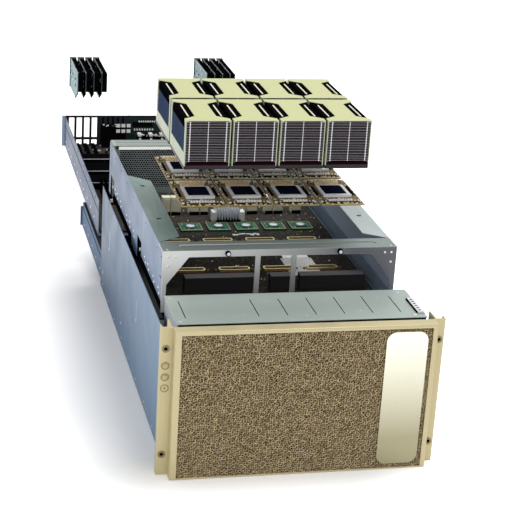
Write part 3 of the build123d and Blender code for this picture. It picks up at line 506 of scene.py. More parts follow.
def foam_net(solids, rng, front, opening, depth, wander):
    """One layer of foam: jittered cells, each a ring of struts round an open middle."""
    low, high = (foam_low[0], foam_low[2]), (foam_high[0], foam_high[2])
    columns = round((high[0] - low[0]) / FOAM_CELL)
    rows = round((high[1] - low[1]) / FOAM_CELL)
    sites = []
    for column in range(-2, columns + 2):
        for row in range(-2, rows + 2):
            sites.append(Vector((low[0] + (column + 0.5 + rng.uniform(-FOAM_JITTER, FOAM_JITTER)) * FOAM_CELL,
                                 low[1] + (row + 0.5 + rng.uniform(-FOAM_JITTER, FOAM_JITTER)) * FOAM_CELL)))
    places, _, triangles = delaunay_2d_cdt(sites, [], [], 0, 1e-6)[:3]
    around = {}
    centres = []
    for number, (a, b, c) in enumerate(triangles):
        p, q, r = places[a], places[b], places[c]
        area = 2 * ((q - p).x * (r - p).y - (q - p).y * (r - p).x)
        reach_q, reach_r = (q - p).length_squared, (r - p).length_squared
        x = p.x + ((r - p).y * reach_q - (q - p).y * reach_r) / area
        z = p.y + ((q - p).x * reach_r - (r - p).x * reach_q) / area
        centres.append((min(max(x, low[0]), high[0]), min(max(z, low[1]), high[1])))
        for corner in (a, b, c):
            around.setdefault(corner, []).append(number)
    crest = {}
    for site, cells in around.items():
        middle = places[site]
        if not (low[0] < middle.x < high[0] and low[1] < middle.y < high[1]):
            continue
        cells.sort(key=lambda n: math.atan2(centres[n][1] - middle.y, centres[n][0] - middle.x))
        gape = opening * rng.uniform(0.85, 1.15)
        rings = []
        for level, (share, back) in enumerate(((1.0, 0.0), (gape, 0.35), (gape * 1.12, 1.0))):
            ring = []
            for n in cells:
                x, z = centres[n]
                if level == 0:
                    if n not in crest:
                        crest[n] = len(solids.points)
                        solids.points.append((x, front + rng.uniform(0, wander), z))
                    ring.append(crest[n])
                else:
                    ring.append(len(solids.points))
                    y = front + wander / 2 + back * depth
                    solids.points.append((middle.x + (x - middle.x) * share, y,
                                          middle.y + (z - middle.y) * share))
            rings.append(ring)
        for outer, inner in zip(rings, rings[1:]):
            for i in range(len(outer)):
                j = (i + 1) % len(outer)
                solids.face((outer[i], outer[j], inner[j], inner[i]), foam_slots["strut"])


foam = Solids()
foam_rng = random.Random(11)
foam_net(foam, foam_rng, foam_low[1] + 0.1, 0.68, 2.0, 0.9)
foam_net(foam, foam_rng, foam_low[1] + 3.2, 0.6, 1.6, 0.8)
# A near-black back behind the struts: painted shade deep in the foam.
foam.box(foam_low[0], foam_high[0], foam_low[1] + 6.0, foam_high[1], foam_low[2], foam_high[2],
         foam_slots["back"])
add_piece(mesh_of(foam, "foam_panel", [foam_gold, foam_painted_shade], outward=False), "foam_panel", "bezel",
          ["bezel_foam"])

# Rack ears: dark sockets in the bushes and a ring round each key

SOCKET_RADIUS = 3.2
BUSH_RADIUS = 6.5
KEY_RING = 6.2
BEADS = 20
ear_front = corners("rack_ear_left")[0][1]
bush_low, bush_high = corners("ear_bushes")
ears = Solids()
for x in (bush_low[0] + BUSH_RADIUS, bush_high[0] - BUSH_RADIUS):
    for z in (bush_low[2] + BUSH_RADIUS, bush_high[2] - BUSH_RADIUS):
        ears.turned("y", x, z, [(ear_front + 2.4, SOCKET_RADIUS), (ear_front + 0.4, SOCKET_RADIUS)], 1)
for node in ("power_button", "id_button", "status_led"):
    low, high = corners(node)
    x, z = (low[0] + high[0]) / 2, (low[2] + high[2]) / 2
    for i in range(BEADS):
        turn = i * math.tau / BEADS
        ears.stud("y", x + KEY_RING * math.cos(turn), z + KEY_RING * math.sin(turn), ear_front + 0.05,
                  1.1, -0.35)
add_solids(ears, [ring_gold, black], "ear_details", "chassis")

# Chassis: screws and two upright marks on each wall, and rivets along its foot

WALL_SCREWS = ((-67.5, 124), (309.5, 127), (-330, 150), (-330, 40), (120, 40), (400, 40))
WALL_MARKS = ((-67.5, 128), (309.5, 131))
MARK_HEIGHT = 34
wall_x = corners("chassis_shell")[1][0]
wall = Solids()
for side in (-1, 1):
    for y, z in WALL_SCREWS:
        wall.screw("x", y, z, side * wall_x, 3.2, side * 0.7)
    mark = ordered(side * wall_x, side * (wall_x + 0.15))
    for y, z in WALL_MARKS:
        wall.box(*mark, y - 0.6, y + 0.6, z, z + MARK_HEIGHT, 0)
    for i in range(9):
        wall.stud("x", -380 + 98 * i, 12, side * wall_x, 1.8, side * 0.6, 0)
add_solids(wall, [silver, black], "chassis_screws", "chassis")

# Front lid: spot welds, dark seams, the ribbed strip's cover and screws

WELD_PLACES = ((-200, -405), (-150, -330), (-95, -390), (-45, -335), (10, -400), (60, -340), (108, -385),
               (152, -330))
SEAM_PLACES = (174.9, 125.7, 76.5, 27.3, -21.9, -71.1, -194.4)
SEAM_INSET = 26
lid_low, lid_high = corners("front_lid")
lid_face = lid_high[2] - 1.6
lid = Solids()
for x, y in WELD_PLACES:
    lid.stud("z", x, y, lid_face, 2.2, 0.35, 0)
for x in SEAM_PLACES:
    lid.box(x - 0.75, x + 0.75, lid_low[1] + SEAM_INSET, lid_high[1] - SEAM_INSET, lid_face - 0.66,
            lid_face - 0.4, 2)
strip_end = lid_high[0] - 1
strip_y0, strip_y1 = lid_low[1] + 16, lid_low[1] + 80
lid.box(strip_end - 11, strip_end, strip_y0, strip_y1, lid_high[2], lid_high[2] + 1.6, 1)
lid.box(strip_end - 12.5, strip_end - 11, strip_y0, strip_y1, lid_face, lid_high[2] + 0.8, 2)
for i in range(6):
    y = strip_y0 + 6 + 9.5 * i
    lid.box(strip_end - 8, strip_end - 4, y, y + 3, lid_high[2] + 1.6, lid_high[2] + 1.8, 2)
for x in (-206, 196):
    for y in (-410, -310):
        lid.screw("z", x, y, lid_face, 3.0, 0.8, 1, 2)
add_solids(lid, [lid_grey, silver, black], "lid_details", "chassis")

# GPU tray walls: paired rivets low down, small dark holes high up

RIVET_STEPS = (-225, -170, -110, -72, 70, 125, 165, 250, 300, 330)
HOLE_STEPS = (-236, -190, -60, 90, 180, 260, 350, 410)
tray_high = corners("gpu_tray_side_right")[1]
tray_x, tray_top = tray_high[0], tray_high[2]
for side, name in ((-1, "left"), (1, "right")):
    rivets = Solids()
    for y in RIVET_STEPS:
        for drop, shift in ((86, 0), (78, 9)):
            rivets.stud("x", y + shift, tray_top - drop, side * tray_x, 2.4, side * 1.1, 0)
    for y in HOLE_STEPS:
        rivets.turned("x", y, tray_top - 14, [(side * tray_x, 2.0), (side * (tray_x + 0.15), 2.0)], 1, 8)
    for y in (-236, -228):
        rivets.turned("x", y, tray_top - 52, [(side * tray_x, 2.4), (side * (tray_x + 0.15), 2.4)], 1, 8)
    for y in (9, 390):
        rivets.screw("x", y, tray_top - 90, side * (tray_x - 4), 3.6, side * 3.0, 0)
    add_solids(rivets, [silver, black], f"tray_rivets_{name}", "gpu_tray")

# GPU tray front: rivets in the corners and knurled thumbscrews

THUMBSCREWS = (-96, 105)
KNURLS = 40
frame_low, frame_high = corners("tray_front_frame")
frame_y, frame_top = frame_low[1], frame_high[2]
fixings = Solids()
for side in (-1, 1):
    for inset, drop in ((10, 10), (22, 10), (10, 28)):
        fixings.stud("y", side * (frame_high[0] - inset), frame_top - drop, frame_y, 2.3, -0.9, 0)
    fixings.stud("z", side * (frame_high[0] - 9), frame_y + 8, frame_top, 2.0, 0.7, 0)
for x in THUMBSCREWS:
    z = frame_top - 6
    knurl = [(x + (4.6 if i % 2 else 4.1) * math.cos(i * math.tau / KNURLS),
              z + (4.6 if i % 2 else 4.1) * math.sin(i * math.tau / KNURLS)) for i in range(KNURLS)]
    fixings.turned("y", x, z, [(frame_y, 5.0), (frame_y - 1.6, 5.0)], 1, 20)
    fixings.prism(knurl, "y", frame_y - 1.6, frame_y - 6.0, 1)
    fixings.turned("y", x, z, [(frame_y - 6.0, 3.2), (frame_y - 7.0, 2.6)], 0, 16)
add_solids(fixings, [silver, black], "tray_fixings", "gpu_tray", ["tray_thumbscrews"])

# Baseboard: sockets with gold rims, chips on the green boards, and small parts

SOCKET_RIM = [(-29, -5), (-26, -8), (26, -8), (29, -5), (29, 5), (26, 8), (-26, 8), (-29, 5)]
SOCKET_MOUTH = [(p * (26.8 / 29), q * (5.6 / 8)) for p, q in SOCKET_RIM]
PINS = 24
PIN_STEP = 2.1
board_low, board_high = corners("gpu_baseboard")
board_top = board_high[2]
module_places = []
for number in range(1, 9):
    low, high = corners(f"gpu_module_{number}")
    module_places.append(((low[0] + high[0]) / 2, (low[1] + high[1]) / 2, low[2]))
mezzanine_low, mezzanine_high = corners("mezzanine_connectors")
shift = [(mezzanine_low[k] + mezzanine_high[k]) / 2 - sum(p[k] for p in module_places) / 8 for k in (0, 1)]
socket_places = [(x + shift[0], y + shift[1]) for x, y, _ in module_places]
sockets = Solids()
for x, y in socket_places:
    sockets.prism([(x + p, y + q) for p, q in SOCKET_RIM], "z", board_top, board_top + 1.8, 2)
    for i in range(8):
        j = (i + 1) % 8
        quad = [SOCKET_RIM[i], SOCKET_RIM[j], SOCKET_MOUTH[j], SOCKET_MOUTH[i]]
        sockets.prism([(x + p, y + q) for p, q in quad], "z", board_top + 1.8, board_top + 5.0, 0)
    sockets.prism([(x + p, y + q) for p, q in SOCKET_MOUTH], "z", board_top + 1.6, board_top + 2.2, 1)
    for i in range(PINS):
        left = x - 25 + i * PIN_STEP
        for row in (-3.4, 2.4):
            sockets.box(left, left + 1.1, y + row, y + row + 1.0, board_top + 2.2, board_top + 2.8, 2)
add_solids(sockets, [contact_gold, chip_black, copper], "mezzanine_sockets", "gpu_tray",
           ["mezzanine_connectors"])

green_low, green_high = corners("switch_boards")
chips = Solids()
green_rng = random.Random(5)
green_y = (green_low[1] + green_high[1]) / 2
green_half = (green_high[1] - green_low[1]) / 2
rim = green_half - 1
rim_strips = ((-rim, rim, -rim, 1.4 - rim), (-rim, rim, rim - 0.6, rim), (-rim, 0.6 - rim, -rim, rim),
              (rim - 0.6, rim, -rim, rim))
top = green_high[2]
for i in range(5):
    x = green_low[0] + green_half + i * (green_high[0] - green_low[0] - 2 * green_half) / 4
    for a, b, c, d in rim_strips:
        chips.box(x + a, x + b, green_y + c, green_y + d, top, top + 0.25, 2)
    chips.box(x - 11, x + 11, green_y - 11, green_y + 11, top, top + 1.4, 1)
    chips.turned("z", x, green_y, [(top + 1.4, 8.5), (top + 2.4, 8.5), (top + 2.9, 6.5)], 0, 24)
    scatter(chips, green_rng, 26, (x - 18, x + 18, green_y - 18, green_y + 18), top, (1.0, 2.2, 0.8),
            (1, 3, 2), [(x - 13, x + 13, green_y - 13, green_y + 13)])
add_solids(chips, [silver, board_green, contact_gold, chalk], "switch_chips", "gpu_tray")

parts = Solids()
part_rng = random.Random(8)
taken = [(x - 31, x + 31, y - 10, y + 10) for x, y in socket_places]
taken += [(green_low[0] - 2, green_high[0] + 2, green_low[1] - 2, green_high[1] + 2),
          (-34, 36, 184, 228), (board_low[0], board_high[0], -210, -176), (54, 118, -120, 42)]
scatter(parts, part_rng, 420, (board_low[0] + 3, board_high[0] - 3, board_low[1] + 3, board_high[1] - 3),
        board_top, (1.0, 3.0, 2.2), (5, 5, 5, 5, 1, 2, 3), taken)
for x, y in socket_places:
    for end in (-1, 1):
        parts.turned("z", x + end * 34.5, y,
                     [(board_top, 3.0), (board_top + 3.0, 3.0), (board_top + 3.4, 2.2)], 5, 14)
scatter(parts, part_rng, 26, (-12, 48, 104, 118), board_top, (2.0, 7.0, 1.0), (1,), taken)
parts.box(56, 116, -118, -28, board_top, board_top + 0.6, 1)
# A silver plate behind the crossbar: a painted highlight, standing in for the soft reflection there.
parts.box(62, 112, -26, 40, board_top, board_top + 0.5, 2)
for x in (60, 84, 112):
    for y in (-112, -73, -34):
        parts.turned("z", x, y, [(board_top + 0.5, 1.6), (board_top + 0.7, 1.6)], 0, 8)
for x0, x1 in ((-33, -25), (25, 34)):
    parts.box(x0, x1, 192, 212, board_top, board_top + 19, 1)
add_solids(parts, [chip_black, chalk, silver, tan, contact_gold, board_olive], "baseboard_parts",
           "gpu_tray")

# Switch heatsink: thin bright fins on a dark foot

FIN_STEP = 5.8
FIN_THICK = 1.5
FIN_FOOT = 4
fins_low, fins_high = corners("switch_heatsink")
fins = Solids()
fins.box(fins_low[0], fins_high[0], fins_low[1], fins_high[1], fins_low[2], fins_low[2] + FIN_FOOT, 1)
for i in range(int((fins_high[0] - fins_low[0]) / FIN_STEP) + 1):
    x = fins_low[0] + i * FIN_STEP
    fins.box(x, x + FIN_THICK, fins_low[1], fins_high[1], fins_low[2] + FIN_FOOT, fins_high[2], 0)
add_solids(fins, [fin_bright, chip_black], "switch_fins", "gpu_tray", ["switch_heatsink"])

# Cream power stages in a row behind the green boards

BLOCK_SPANS = ((-128, -111), (-110, -89.5), (-72.6, -51.5), (-49.5, -32.6), (36.6, 46), (47.4, 70.5),
               (85.8, 102.8), (104.3, 124.3), (142.8, 162.8))
BLOCK_Y0, BLOCK_Y1 = 239, 255
BLOCK_HEIGHT = 36.5
blocks = Solids()
block_top = board_top + BLOCK_HEIGHT
for x0, x1 in BLOCK_SPANS:
    blocks.box(x0, x1, BLOCK_Y0, BLOCK_Y1, board_top, block_top, 0)
    blocks.box(x0 + 2, x1 - 2, BLOCK_Y0 - 1, BLOCK_Y0, board_top + 3, block_top - 3, 0)
    blocks.box(x0 + 1, x1 - 1, BLOCK_Y0 - 6, BLOCK_Y0 - 1, board_top, board_top + 6, 1)
add_solids(blocks, [cream, chip_black], "power_blocks", "gpu_tray", edge=0.8)

# Grille: a sheet of staggered six-sided holes under a bright strip, with a black sheet behind it as painted
# shade in the holes

grille_low, grille_high = corners("tray_rear_grille")
grille_half, grille_y = grille_high[0] - 5, grille_low[1]
GRILLE_PITCH = 5.2
GRILLE_OPEN = 0.82


def perforated(solids, x0, x1, z0, z1, y, thick, pitch, share, slot):
    """A sheet across the machine with staggered hexagonal holes."""
    row_step = pitch * math.sqrt(3) / 2
    columns, rows = int((x1 - x0) / pitch) - 1, int((z1 - z0) / row_step) - 1
    left, bottom = (x0 + x1 - columns * pitch) / 2, (z0 + z1 - (rows - 1) * row_step) / 2
    reach = pitch / math.sqrt(3)
    for row in range(rows):
        for column in range(columns + (row % 2 == 0)):
            x, z = left + (column + 0.5 * (row % 2)) * pitch, bottom + row * row_step
            start = len(solids.points)
            for depth in (y, y + thick):
                for size in (reach, reach * share):
                    for i in range(6):
                        turn = math.pi / 6 + i * math.pi / 3
                        solids.points.append((x + size * math.cos(turn), depth, z + size * math.sin(turn)))
            for i in range(6):
                j = (i + 1) % 6
                outer, inner, back, rim = start, start + 6, start + 12, start + 18
                solids.face((outer + i, outer + j, inner + j, inner + i), slot)
                solids.face((inner + i, inner + j, rim + j, rim + i), slot)
                solids.face((rim + i, rim + j, back + j, back + i), slot)


grille = Solids()
sheet = (grille_y - 0.3, grille_y + 1.5)
grille_z0, grille_z1 = board_top + 4, grille_high[2] - 5
perforated(grille, -grille_half + 4, grille_half - 4, grille_z0, grille_z1, grille_y, 1.2, GRILLE_PITCH,
           GRILLE_OPEN, 1)
for x0, x1 in ((grille_low[0], -grille_half + 9), (grille_half - 9, grille_high[0])):
    grille.box(x0, x1, *sheet, grille_low[2], grille_high[2] - 1.5, 0)
grille.box(-grille_half, grille_half, *sheet, grille_low[2] + 1.5, grille_z0 + 5, 0)
grille.box(-grille_half, grille_half, *sheet, grille_z1 - 3, grille_high[2] - 1.5, 0)
# A black sheet behind the holes: painted shade seen through them.
grille.box(-grille_half + 8, grille_half - 8, grille_y + 12, grille_y + 13, grille_z0, grille_z1, 2)
grille.box(grille_low[0], grille_high[0], grille_y, grille_high[1], grille_high[2] - 1.5, grille_high[2], 0)
grille.box(grille_low[0], grille_high[0], grille_high[1] - 1.5, grille_high[1], grille_low[2],
           grille_high[2] - 1.5, 0)
strip_z = grille_high[2] - 8
grille.prism([(grille_y - 0.3, strip_z), (grille_y - 4.0, strip_z), (grille_y - 0.3, strip_z + 5.5)], "x",
             -grille_half + 6, grille_half - 6, 3)
for y in (10, 22, 34):
    grille.box(grille_low[0] + 6, grille_high[0] - 6, grille_y + y, grille_y + y + 1.2, grille_high[2],
               grille_high[2] + 0.3, 2)
add_solids(grille, [lid_grey, sheet_pale, black, chalk], "tray_grille", "gpu_tray",
           ["tray_rear_grille"])

# GPU modules: one board in eight places

FRAME_BARS = ((-25, 27, -31, -23.5, 6.4), (-25, 27, 29, 33, 5.4), (-25, -19.5, -23.5, 29, 5.6),
              (21.5, 27, -23.5, 29, 5.6))
PART_AREAS = ((-38, 38, -71, -63), (-38, 38, -46, -36), (-38, 38, 69, 72), (-38, 38, 37, 41),
              (-39, -36, -30, 30), (36, 39, -30, 30), (-38, -29, 40, 62), (30, 38, 40, 62),
              (-38, -24, -58, -48), (24, 38, -58, -48))
low, high = corners("gpu_module_1")
module_w, module_d = (high[0] - low[0]) / 2, (high[1] - low[1]) / 2
module = Solids()
module.box(-module_w, module_w, -module_d, module_d, 0, 2.0, 0)
module.box(-module_w, module_w, -module_d, -module_d + 1.6, 1.9, 2.3, 4)
for side in (-1, 1):
    module.box(*ordered(side * module_w, side * (module_w - 0.6)), -module_d + 1.6, module_d, 1.9, 2.2, 6)
for x0, x1, y0, y1, top in FRAME_BARS:
    module.box(x0, x1, y0, y1, 2.0, top, 1)
module.box(-19.5, 21.5, -23.5, 29, 2.0, 4.0, 5)
module.box(-17.5, 19.5, -22, 27.5, 4.0, 6.0, 2)
for i in range(9):
    x = -21 + i * 5.0
    module.box(x, x + 3.6, -53, -48, 2.0, 5.0, 8)
    module.box(x - 2, x + 2.0, 38, 45, 2.0, 6.2, 6)
    module.box(x - 1, x + 3.0, 48, 55, 2.0, 6.2, 6)
for i in range(7):
    x = -27 + i * 8.0
    module.box(x, x + 5.0, 58, 62, 2.0, 6.0, 8)
module.box(-34, 34, -62, -59.5, 2.0, 3.2, 7)
module.box(-30, 30, 65, 68, 2.0, 5.0, 6)
for side in (-1, 1):
    module.box(*ordered(side * 32, side * 35), -20, 26, 2.0, 4.8, 7)
module_rng = random.Random(21)
for area in PART_AREAS:
    scatter(module, module_rng, int((area[1] - area[0]) * (area[3] - area[2]) / 30), area, 2.0,
            (1.2, 3.0, 2.0), (3, 4, 6, 7, 7, 8))
for x in (-35, 35):
    for y in (-57, 64):
        module.screw("z", x, y, 2.0, 2.8, 2.2, 1, 7)
module_mesh = mesh_of(module, "module_board", [board_olive, satin, die_navy, cream, contact_gold, board_green,
                                               tan, chip_black, chalk])
for number, place in enumerate(module_places, 1):
    add_piece(module_mesh, f"module_board_{number}", f"module_{number}",
              [f"gpu_module_{number}"], place=place)

# Heatsinks: fine fins on a dark base, inside the gold shrouds

FIN_COUNT = 24
FIN_START, FIN_END = 15.0, 84.0
FIN_INSET = 1.8
COLUMNS = (-32.0, 0.0, 32.0)
low, high = corners("heatsink_shroud_1")
sink_w, sink_d = (high[0] - low[0]) / 2, (high[1] - low[1]) / 2
sink_h = high[2] - corners("heatsink_fins_1")[0][2]
front, back, brow = -sink_d + 1.6, sink_d - 0.5, -sink_d - 0.5
noses = (-sink_w + FIN_INSET, sink_w - FIN_INSET)
sink = Solids()
sink.box(-sink_w, sink_w, -sink_d + 1.5, sink_d - 0.3, 0, 6.0, 0)
sink.box(-sink_w + 1.6, sink_w - 1.6, front, back, 6.0, 7.5, 0)
sink.box(-sink_w + 2.2, sink_w - 2.2, front + 1.5, back - 1.5, 7.5, 13.5, 1)
for i in range(FIN_COUNT):
    z = FIN_START + i * (FIN_END - FIN_START) / (FIN_COUNT - 1)
    sink.box(-sink_w + 1.6, sink_w - 1.6, front + 0.8, back - 0.8, z, z + 0.7, 2)
    thick = 0.4 if i % 2 else 0.7
    sink.box(*noses, brow, brow + 0.4, z, z + thick, 3)
    sink.box(-sink_w + 1.8, sink_w - 1.8, back - 0.8, back, z, z + 0.7, 3 if i % 2 else 2)
    for x in COLUMNS:
        wide = 0.9 if x else 0.6
        for y in (brow - 0.4, back - 0.4):
            sink.box(x - wide, x + wide, y, y + 0.9, z - 0.4, z + 1.6, 4)
sink.box(*noses, brow + 0.4, front + 0.8, 13.5, FIN_END + 0.8, 6)
sink.box(*noses, brow, brow + 0.4, 7.5, 13.0, 1)
sink.box(*noses, brow, brow + 0.4, 0.3, 7.5, 0)
for x in (-24.0, -10.0, 10.0, 24.0):
    sink.turned("z", x, 0, [(6.0, 4.0), (FIN_END, 4.0)], 2, 14)
for side in (-1, 1):
    edge = side * (sink_w - 1.3)
    pane = ordered(edge, edge - side * 0.5)
    sink.box(*pane, -sink_d + 9, sink_d - 9, 28, 70, 5)
    sink.box(*pane, -sink_d + 9, sink_d - 9, 70, FIN_END + 1.0, 6)
    sink.box(*ordered(edge, side * (sink_w - 22.0)), -59, 59, FIN_END - 1.0, FIN_END + 1.2, 6)
    bar = side * (sink_w - 10.5)
    sink.box(bar - 1.1, bar + 1.1, -38, 38, FIN_END + 1.2, FIN_END + 2.2, 7)
sink_mesh = mesh_of(sink, "heatsink_core",
                    [sink_grey, maroon, fin_dark, fin_edge, silver, window_blue, chip_black, cream])
screws = Solids()
for x in (-35.5, 35.5):
    for y in (-sink_d + 5, sink_d - 5):
        screws.screw("z", x, y, sink_h, 1.7, 0.5, 0, 1)
screw_mesh = mesh_of(screws, "shroud_screws", [black, black])
for number, (x, y, _) in enumerate(module_places, 1):
    place = (x, y, corners(f"heatsink_fins_{number}")[0][2])
    add_piece(sink_mesh, f"heatsink_core_{number}", f"heatsink_{number}",
              [f"heatsink_fins_{number}"], place=place)
    add_piece(screw_mesh, f"shroud_screws_{number}", f"heatsink_{number}",
              place=(x, y, place[2] - 0.6))

# Motherboard: coolers, memory, sockets and small parts

COOLER_PLACES = (-70, 70)
COOLER_HALF, COOLER_LONG = 46, 110
COOLER_FINS = 30
MEMORY_CENTRES = (-150, 0, 150)
MEMORY_PITCH = 11
host_low, host_high = corners("motherboard")
host_board = host_low[2] + 5.5
host = Solids()
host.box(host_low[0], host_high[0], host_low[1], host_high[1], host_board - 2, host_board, 0)
cpu_y0 = host_low[1] + 194
cpu_y1 = cpu_y0 + COOLER_LONG
for x in COOLER_PLACES:
    host.box(x - COOLER_HALF, x + COOLER_HALF, cpu_y0, cpu_y1, host_board, host_board + 8, 1)
    for i in range(COOLER_FINS):
        left = x - COOLER_HALF + i * (2 * COOLER_HALF - 1) / (COOLER_FINS - 1)
        host.box(left, left + 0.9, cpu_y0, cpu_y1, host_board + 8, host_board + 56, 1)
for centre in MEMORY_CENTRES:
    for i in range(4):
        x = centre + (i - 1.5) * MEMORY_PITCH
        host.box(x - 3, x + 3, cpu_y0 - 13, cpu_y0 + 123, host_board, host_board + 7, 2)
        host.box(x - 0.8, x + 0.8, cpu_y0 - 10, cpu_y0 + 120, host_board + 7, host_board + 32, 2)
        for end in (-13, 117):
            host.box(x - 3, x + 3, cpu_y0 + end, cpu_y0 + end + 6, host_board + 7, host_board + 14, 4)
host_rng = random.Random(33)
scatter(host, host_rng, 420, (host_low[0] + 80, host_high[0] - 80, host_low[1] + 3, cpu_y0 - 20),
        host_board, (2.0, 9.0, 6.0), (2, 2, 2, 3, 4, 6))
scatter(host, host_rng, 420, (host_low[0] + 30, host_high[0] - 3, cpu_y0 + 130, host_high[1] - 3),
        host_board, (2.0, 9.0, 5.0), (2, 2, 2, 3, 4, 6))
CARDS = 4
CARD_PITCH = 20.32
BRACKET_LEFT = 3.0
card_groups = {side: corners(f"network_cards_{side}") for side in ("left", "right")}
card_y = card_groups["left"][0][1]
for group_low, _ in card_groups.values():
    for i in range(CARDS):
        x = group_low[0] + BRACKET_LEFT + CARD_PITCH * i
        host.box(x - 4, x + 4, card_y + 62, card_y + 152, host_board, host_board + 7.2, 2)
for y0, y1, tall in ((-70, -24, 30), (-118, -78, 22), (-160, -126, 26), (-230, -170, 18)):
    top = host_board + tall
    host.box(host_low[0] + 4, -112, card_y + y0, card_y + y1, host_board, top, 2)
    host.box(host_low[0] + 4, -112, card_y + y0 - 0.6, card_y + y0, top - 1.6, top, 5)
for x0, x1, tall in ((-118, -54, 58), (-20, 110, 30)):
    host.box(x0, x1, host_high[1] - 26, host_high[1], host_board, host_board + tall, 2)
riser_rng = random.Random(9)
scatter(host, riser_rng, 46, (-116, -56, host_high[1] - 25, host_high[1] - 3), host_board + 57.9,
        (2.0, 6.0, 2.4), (2, 2, 3, 5))
scatter(host, riser_rng, 60, (-18, 108, host_high[1] - 25, host_high[1] - 2), host_board + 29.9,
        (2.0, 5.0, 4.0), (2, 4, 5))
for x in (-20, 10, 40, 70, 100):
    host.box(x, x + 10, host_high[1] - 22, host_high[1] - 2, host_board + 30, host_board + 36, 4)
    host.box(x + 2, x + 8, host_high[1] - 28, host_high[1] - 26, host_board + 20, host_board + 27, 5)
add_solids(host, [board_dark, silver, chip_black, board_green, chalk, satin, contact_gold], "host_board",
           "host_tray", ["motherboard"])

# Motherboard tray walls: white rivets, a fold line drawn as a black strip of painted shade, and screws on the
# rear panel

hull_low, hull_high = corners("motherboard_tray")
panel_low, panel_high = corners("rear_io_panel")
hull = Solids()
for side in (-1, 1):
    edge = side * hull_high[0]
    for i in range(10):
        hull.stud("x", hull_low[1] + 74 + 68 * i, hull_low[2] + 22, edge, 3.4, side * 1.2, 0)
    fold = ordered(edge, edge + side * 0.5)
    # The fold line is a black strip: painted shade in the crease.
    hull.box(*fold, hull_low[1] + 4, hull_high[1] - 4, hull_low[2] + 58, hull_low[2] + 59.2, 2)
    for i in range(6):
        hull.stud("x", hull_low[1] + 60 + 120 * i, hull_high[2] - 8, edge, 1.8, side * 0.6, 2)
for x in (panel_low[0] + 5, panel_high[0] - 5):
    for z in (panel_low[2] + 8, panel_high[2] - 8):
        hull.screw("y", x, z, panel_high[1] - 8, 3.0, 1.2, 0, 2)
for i in range(5):
    x = -112 + 13.5 * i
    hull.box(x, x + 4.0, panel_high[1] - 10.6, panel_high[1] - 9.6, panel_low[2] + 6, panel_high[2] - 4, 2)
panel_y = panel_low[1]
hull.box(-50, panel_high[0] - 60, panel_y - 1.0, panel_y - 0.2, host_board + 6, panel_high[2] - 8, 3)
for i in range(3):
    for z in (host_board + 42, host_board + 57):
        hull.box(-80 + 14 * i, -70 + 14 * i, host_high[1] - 27.5, host_high[1] - 26, z, z + 9, 0)
for i in range(8):
    x = -14 + 6 * i
    hull.box(x, x + 4, panel_y - 2.0, panel_y - 1.0, panel_high[2] - 18, panel_high[2] - 14, 0)
    x = -26 + 7 * i
    hull.box(x, x + 4, panel_y - 2.5, panel_y - 1.0, host_board + 36, host_board + 41, 0)
hull.box(-30, 26, panel_y - 1.6, panel_y - 1.0, host_board + 46, host_board + 60, 2)
for i in range(14):
    x = 4 + i * 3
    hull.box(x, x + 1.4, panel_high[1] - 8, panel_high[1] - 7.8, 103, 131, 2)
add_solids(hull, [chalk, host_blue, black, panel_green], "host_fixings", "host_tray")

# Network cards: teal boards, those behind the first painted near black as shade between the cards, with dark
# coolers and bright brackets

COOLER_RISE = 27.0
for group, (group_low, group_high) in card_groups.items():
    cards = Solids()
    bottom, top = group_low[2], group_high[2] - 1.0
    y0, y1 = group_low[1], group_high[1] - 10.0
    for i in range(CARDS):
        x = group_low[0] + BRACKET_LEFT + CARD_PITCH * i
        # Only the first card's board is teal; the boards behind it are near black, painted shade between the
        # cards.
        cards.prism([(y0, bottom + 22), (y0 + 47, bottom), (y1, bottom), (y1, top), (y0, top)], "x", x - 0.8,
                    x + 0.8, 1 if i else 0)
        cards.prism([(y0, top - 1.2), (y1, top - 1.2), (y1, top), (y0, top)], "x", x - 1.1, x + 1.1, 3)
        cards.prism([(y0 - 0.1, bottom + 22), (y0 - 0.1, top), (y0 + 1.2, top), (y0 + 1.2, bottom + 22)], "x",
                    x - 0.9, x + 0.9, 5)
        cards.prism([(y0, bottom + 22), (y0 + 47, bottom), (y0 + 48.4, bottom + 1),
                     (y0 + 1.2, bottom + 23.6)], "x", x - 1.1, x + 1.1, 1)
        cards.box(x + 0.8, x + 13.6, y0 + 1, y1 - 3, bottom + COOLER_RISE, top - 1.4, 1)
        for j in range(9):
            cards.box(x - 0.9, x + 0.9, y0 + 50 + j * 5, y0 + 53.4 + j * 5, bottom, bottom + 5, 4)
        scatter_rng = random.Random(40 + i)
        for _ in range(26):
            y, z = scatter_rng.uniform(y0 + 8, y1 - 8), scatter_rng.uniform(bottom + 26, top - 6)
            cards.box(x - 1.8, x - 0.8, y, y + scatter_rng.uniform(2, 7), z, z + scatter_rng.uniform(2, 5),
                      scatter_rng.choice((1, 2, 3)))
        left = x - BRACKET_LEFT
        cards.box(left, left + 17.6, y1, y1 + 1.0, bottom, top, 5)
        cards.box(left, left + 17.6, y1, y1 + 10, top, top + 1.0, 5)
    add_solids(cards, [card_teal, cooler_dark_and_card_shade, satin, silver, contact_gold, bracket_grey],
               f"card_stack_{group}", f"cards_{group}", [f"network_cards_{group}"])

# Power supplies: fan guards and handles seen from behind

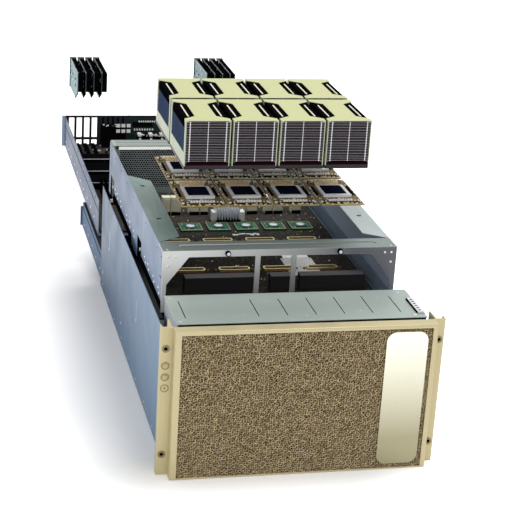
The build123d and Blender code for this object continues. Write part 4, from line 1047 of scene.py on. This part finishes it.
supply_low, supply_high = corners("power_supplies")
supplies = Solids()
SUPPLIES = 6
SUPPLY_GAP = 3
GUARD_HOLES = 24
step = (supply_high[0] - supply_low[0] + SUPPLY_GAP) / SUPPLIES
z = (supply_low[2] + supply_high[2]) / 2
y = supply_high[1] - 2
for i in range(SUPPLIES):
    x = supply_low[0] + (step - SUPPLY_GAP) / 2 + step * i
    supplies.box(x - 29, x + 29, y - 1, y, supply_low[2] + 3.2, supply_high[2] - 3.2, 0)
    supplies.turned("y", x - 8, z, [(y, 15.5), (y + 0.6, 15.5)], 1, 28)
    for radius in (4, 8, 12, 15.5):
        for k in range(GUARD_HOLES):
            turn = k * math.tau / GUARD_HOLES
            supplies.stud("y", x - 8 + radius * math.cos(turn), z + radius * math.sin(turn), y + 0.5, 0.9,
                          0.6, 2)
    supplies.box(x + 14, x + 26, y, y + 1.2, z - 9, z + 9, 1)
    supplies.box(x + 17, x + 23, y + 1.0, y + 1.8, z + 11, z + 14, 3)
add_solids(supplies, [supply_steel, chip_black, satin, lens_olive], "supply_faces", "supply_drawer")

# Supply drawer: rivets along its sides

drawer_low, drawer_high = corners("psu_drawer")
drawer = Solids()
drawer_x = drawer_high[0] - 4
for side in (-1, 1):
    for i in range(8):
        drawer.stud("x", drawer_low[1] + 40 + 72 * i, 20, side * drawer_x, 2.0, side * 0.8, 0)
add_solids(drawer, [silver], "drawer_rivets", "supply_drawer")

# Drives: handles and vents on the caddies, behind the bezel

caddy_low, caddy_high = corners("drive_caddies")
DRIVES = 8
DRIVE_WIDTH = 20
caddies = Solids()
caddy_step = (caddy_high[0] - caddy_low[0] - DRIVE_WIDTH) / (DRIVES - 1)
y = caddy_low[1]
for i in range(DRIVES):
    x = caddy_low[0] + DRIVE_WIDTH / 2 + caddy_step * i
    caddies.box(x - 8, x - 5.6, y - 1.2, y, caddy_low[2] + 8, caddy_high[2] - 8, 0)
    caddies.box(x - 8, x + 8, y - 1.2, y, caddy_high[2] - 9, caddy_high[2] - 5, 0)
    for k in range(12):
        z = caddy_low[2] + 15 + k * 4.2
        caddies.box(x - 4, x + 4, y + 1.4, y + 2.1, z, z + 1.6, 1)
    caddies.stud("y", x + 6.5, caddy_low[2] + 6, y, 1.1, -0.6, 2)
add_solids(caddies, [satin, chip_black, lens_olive], "caddy_fronts", "chassis")
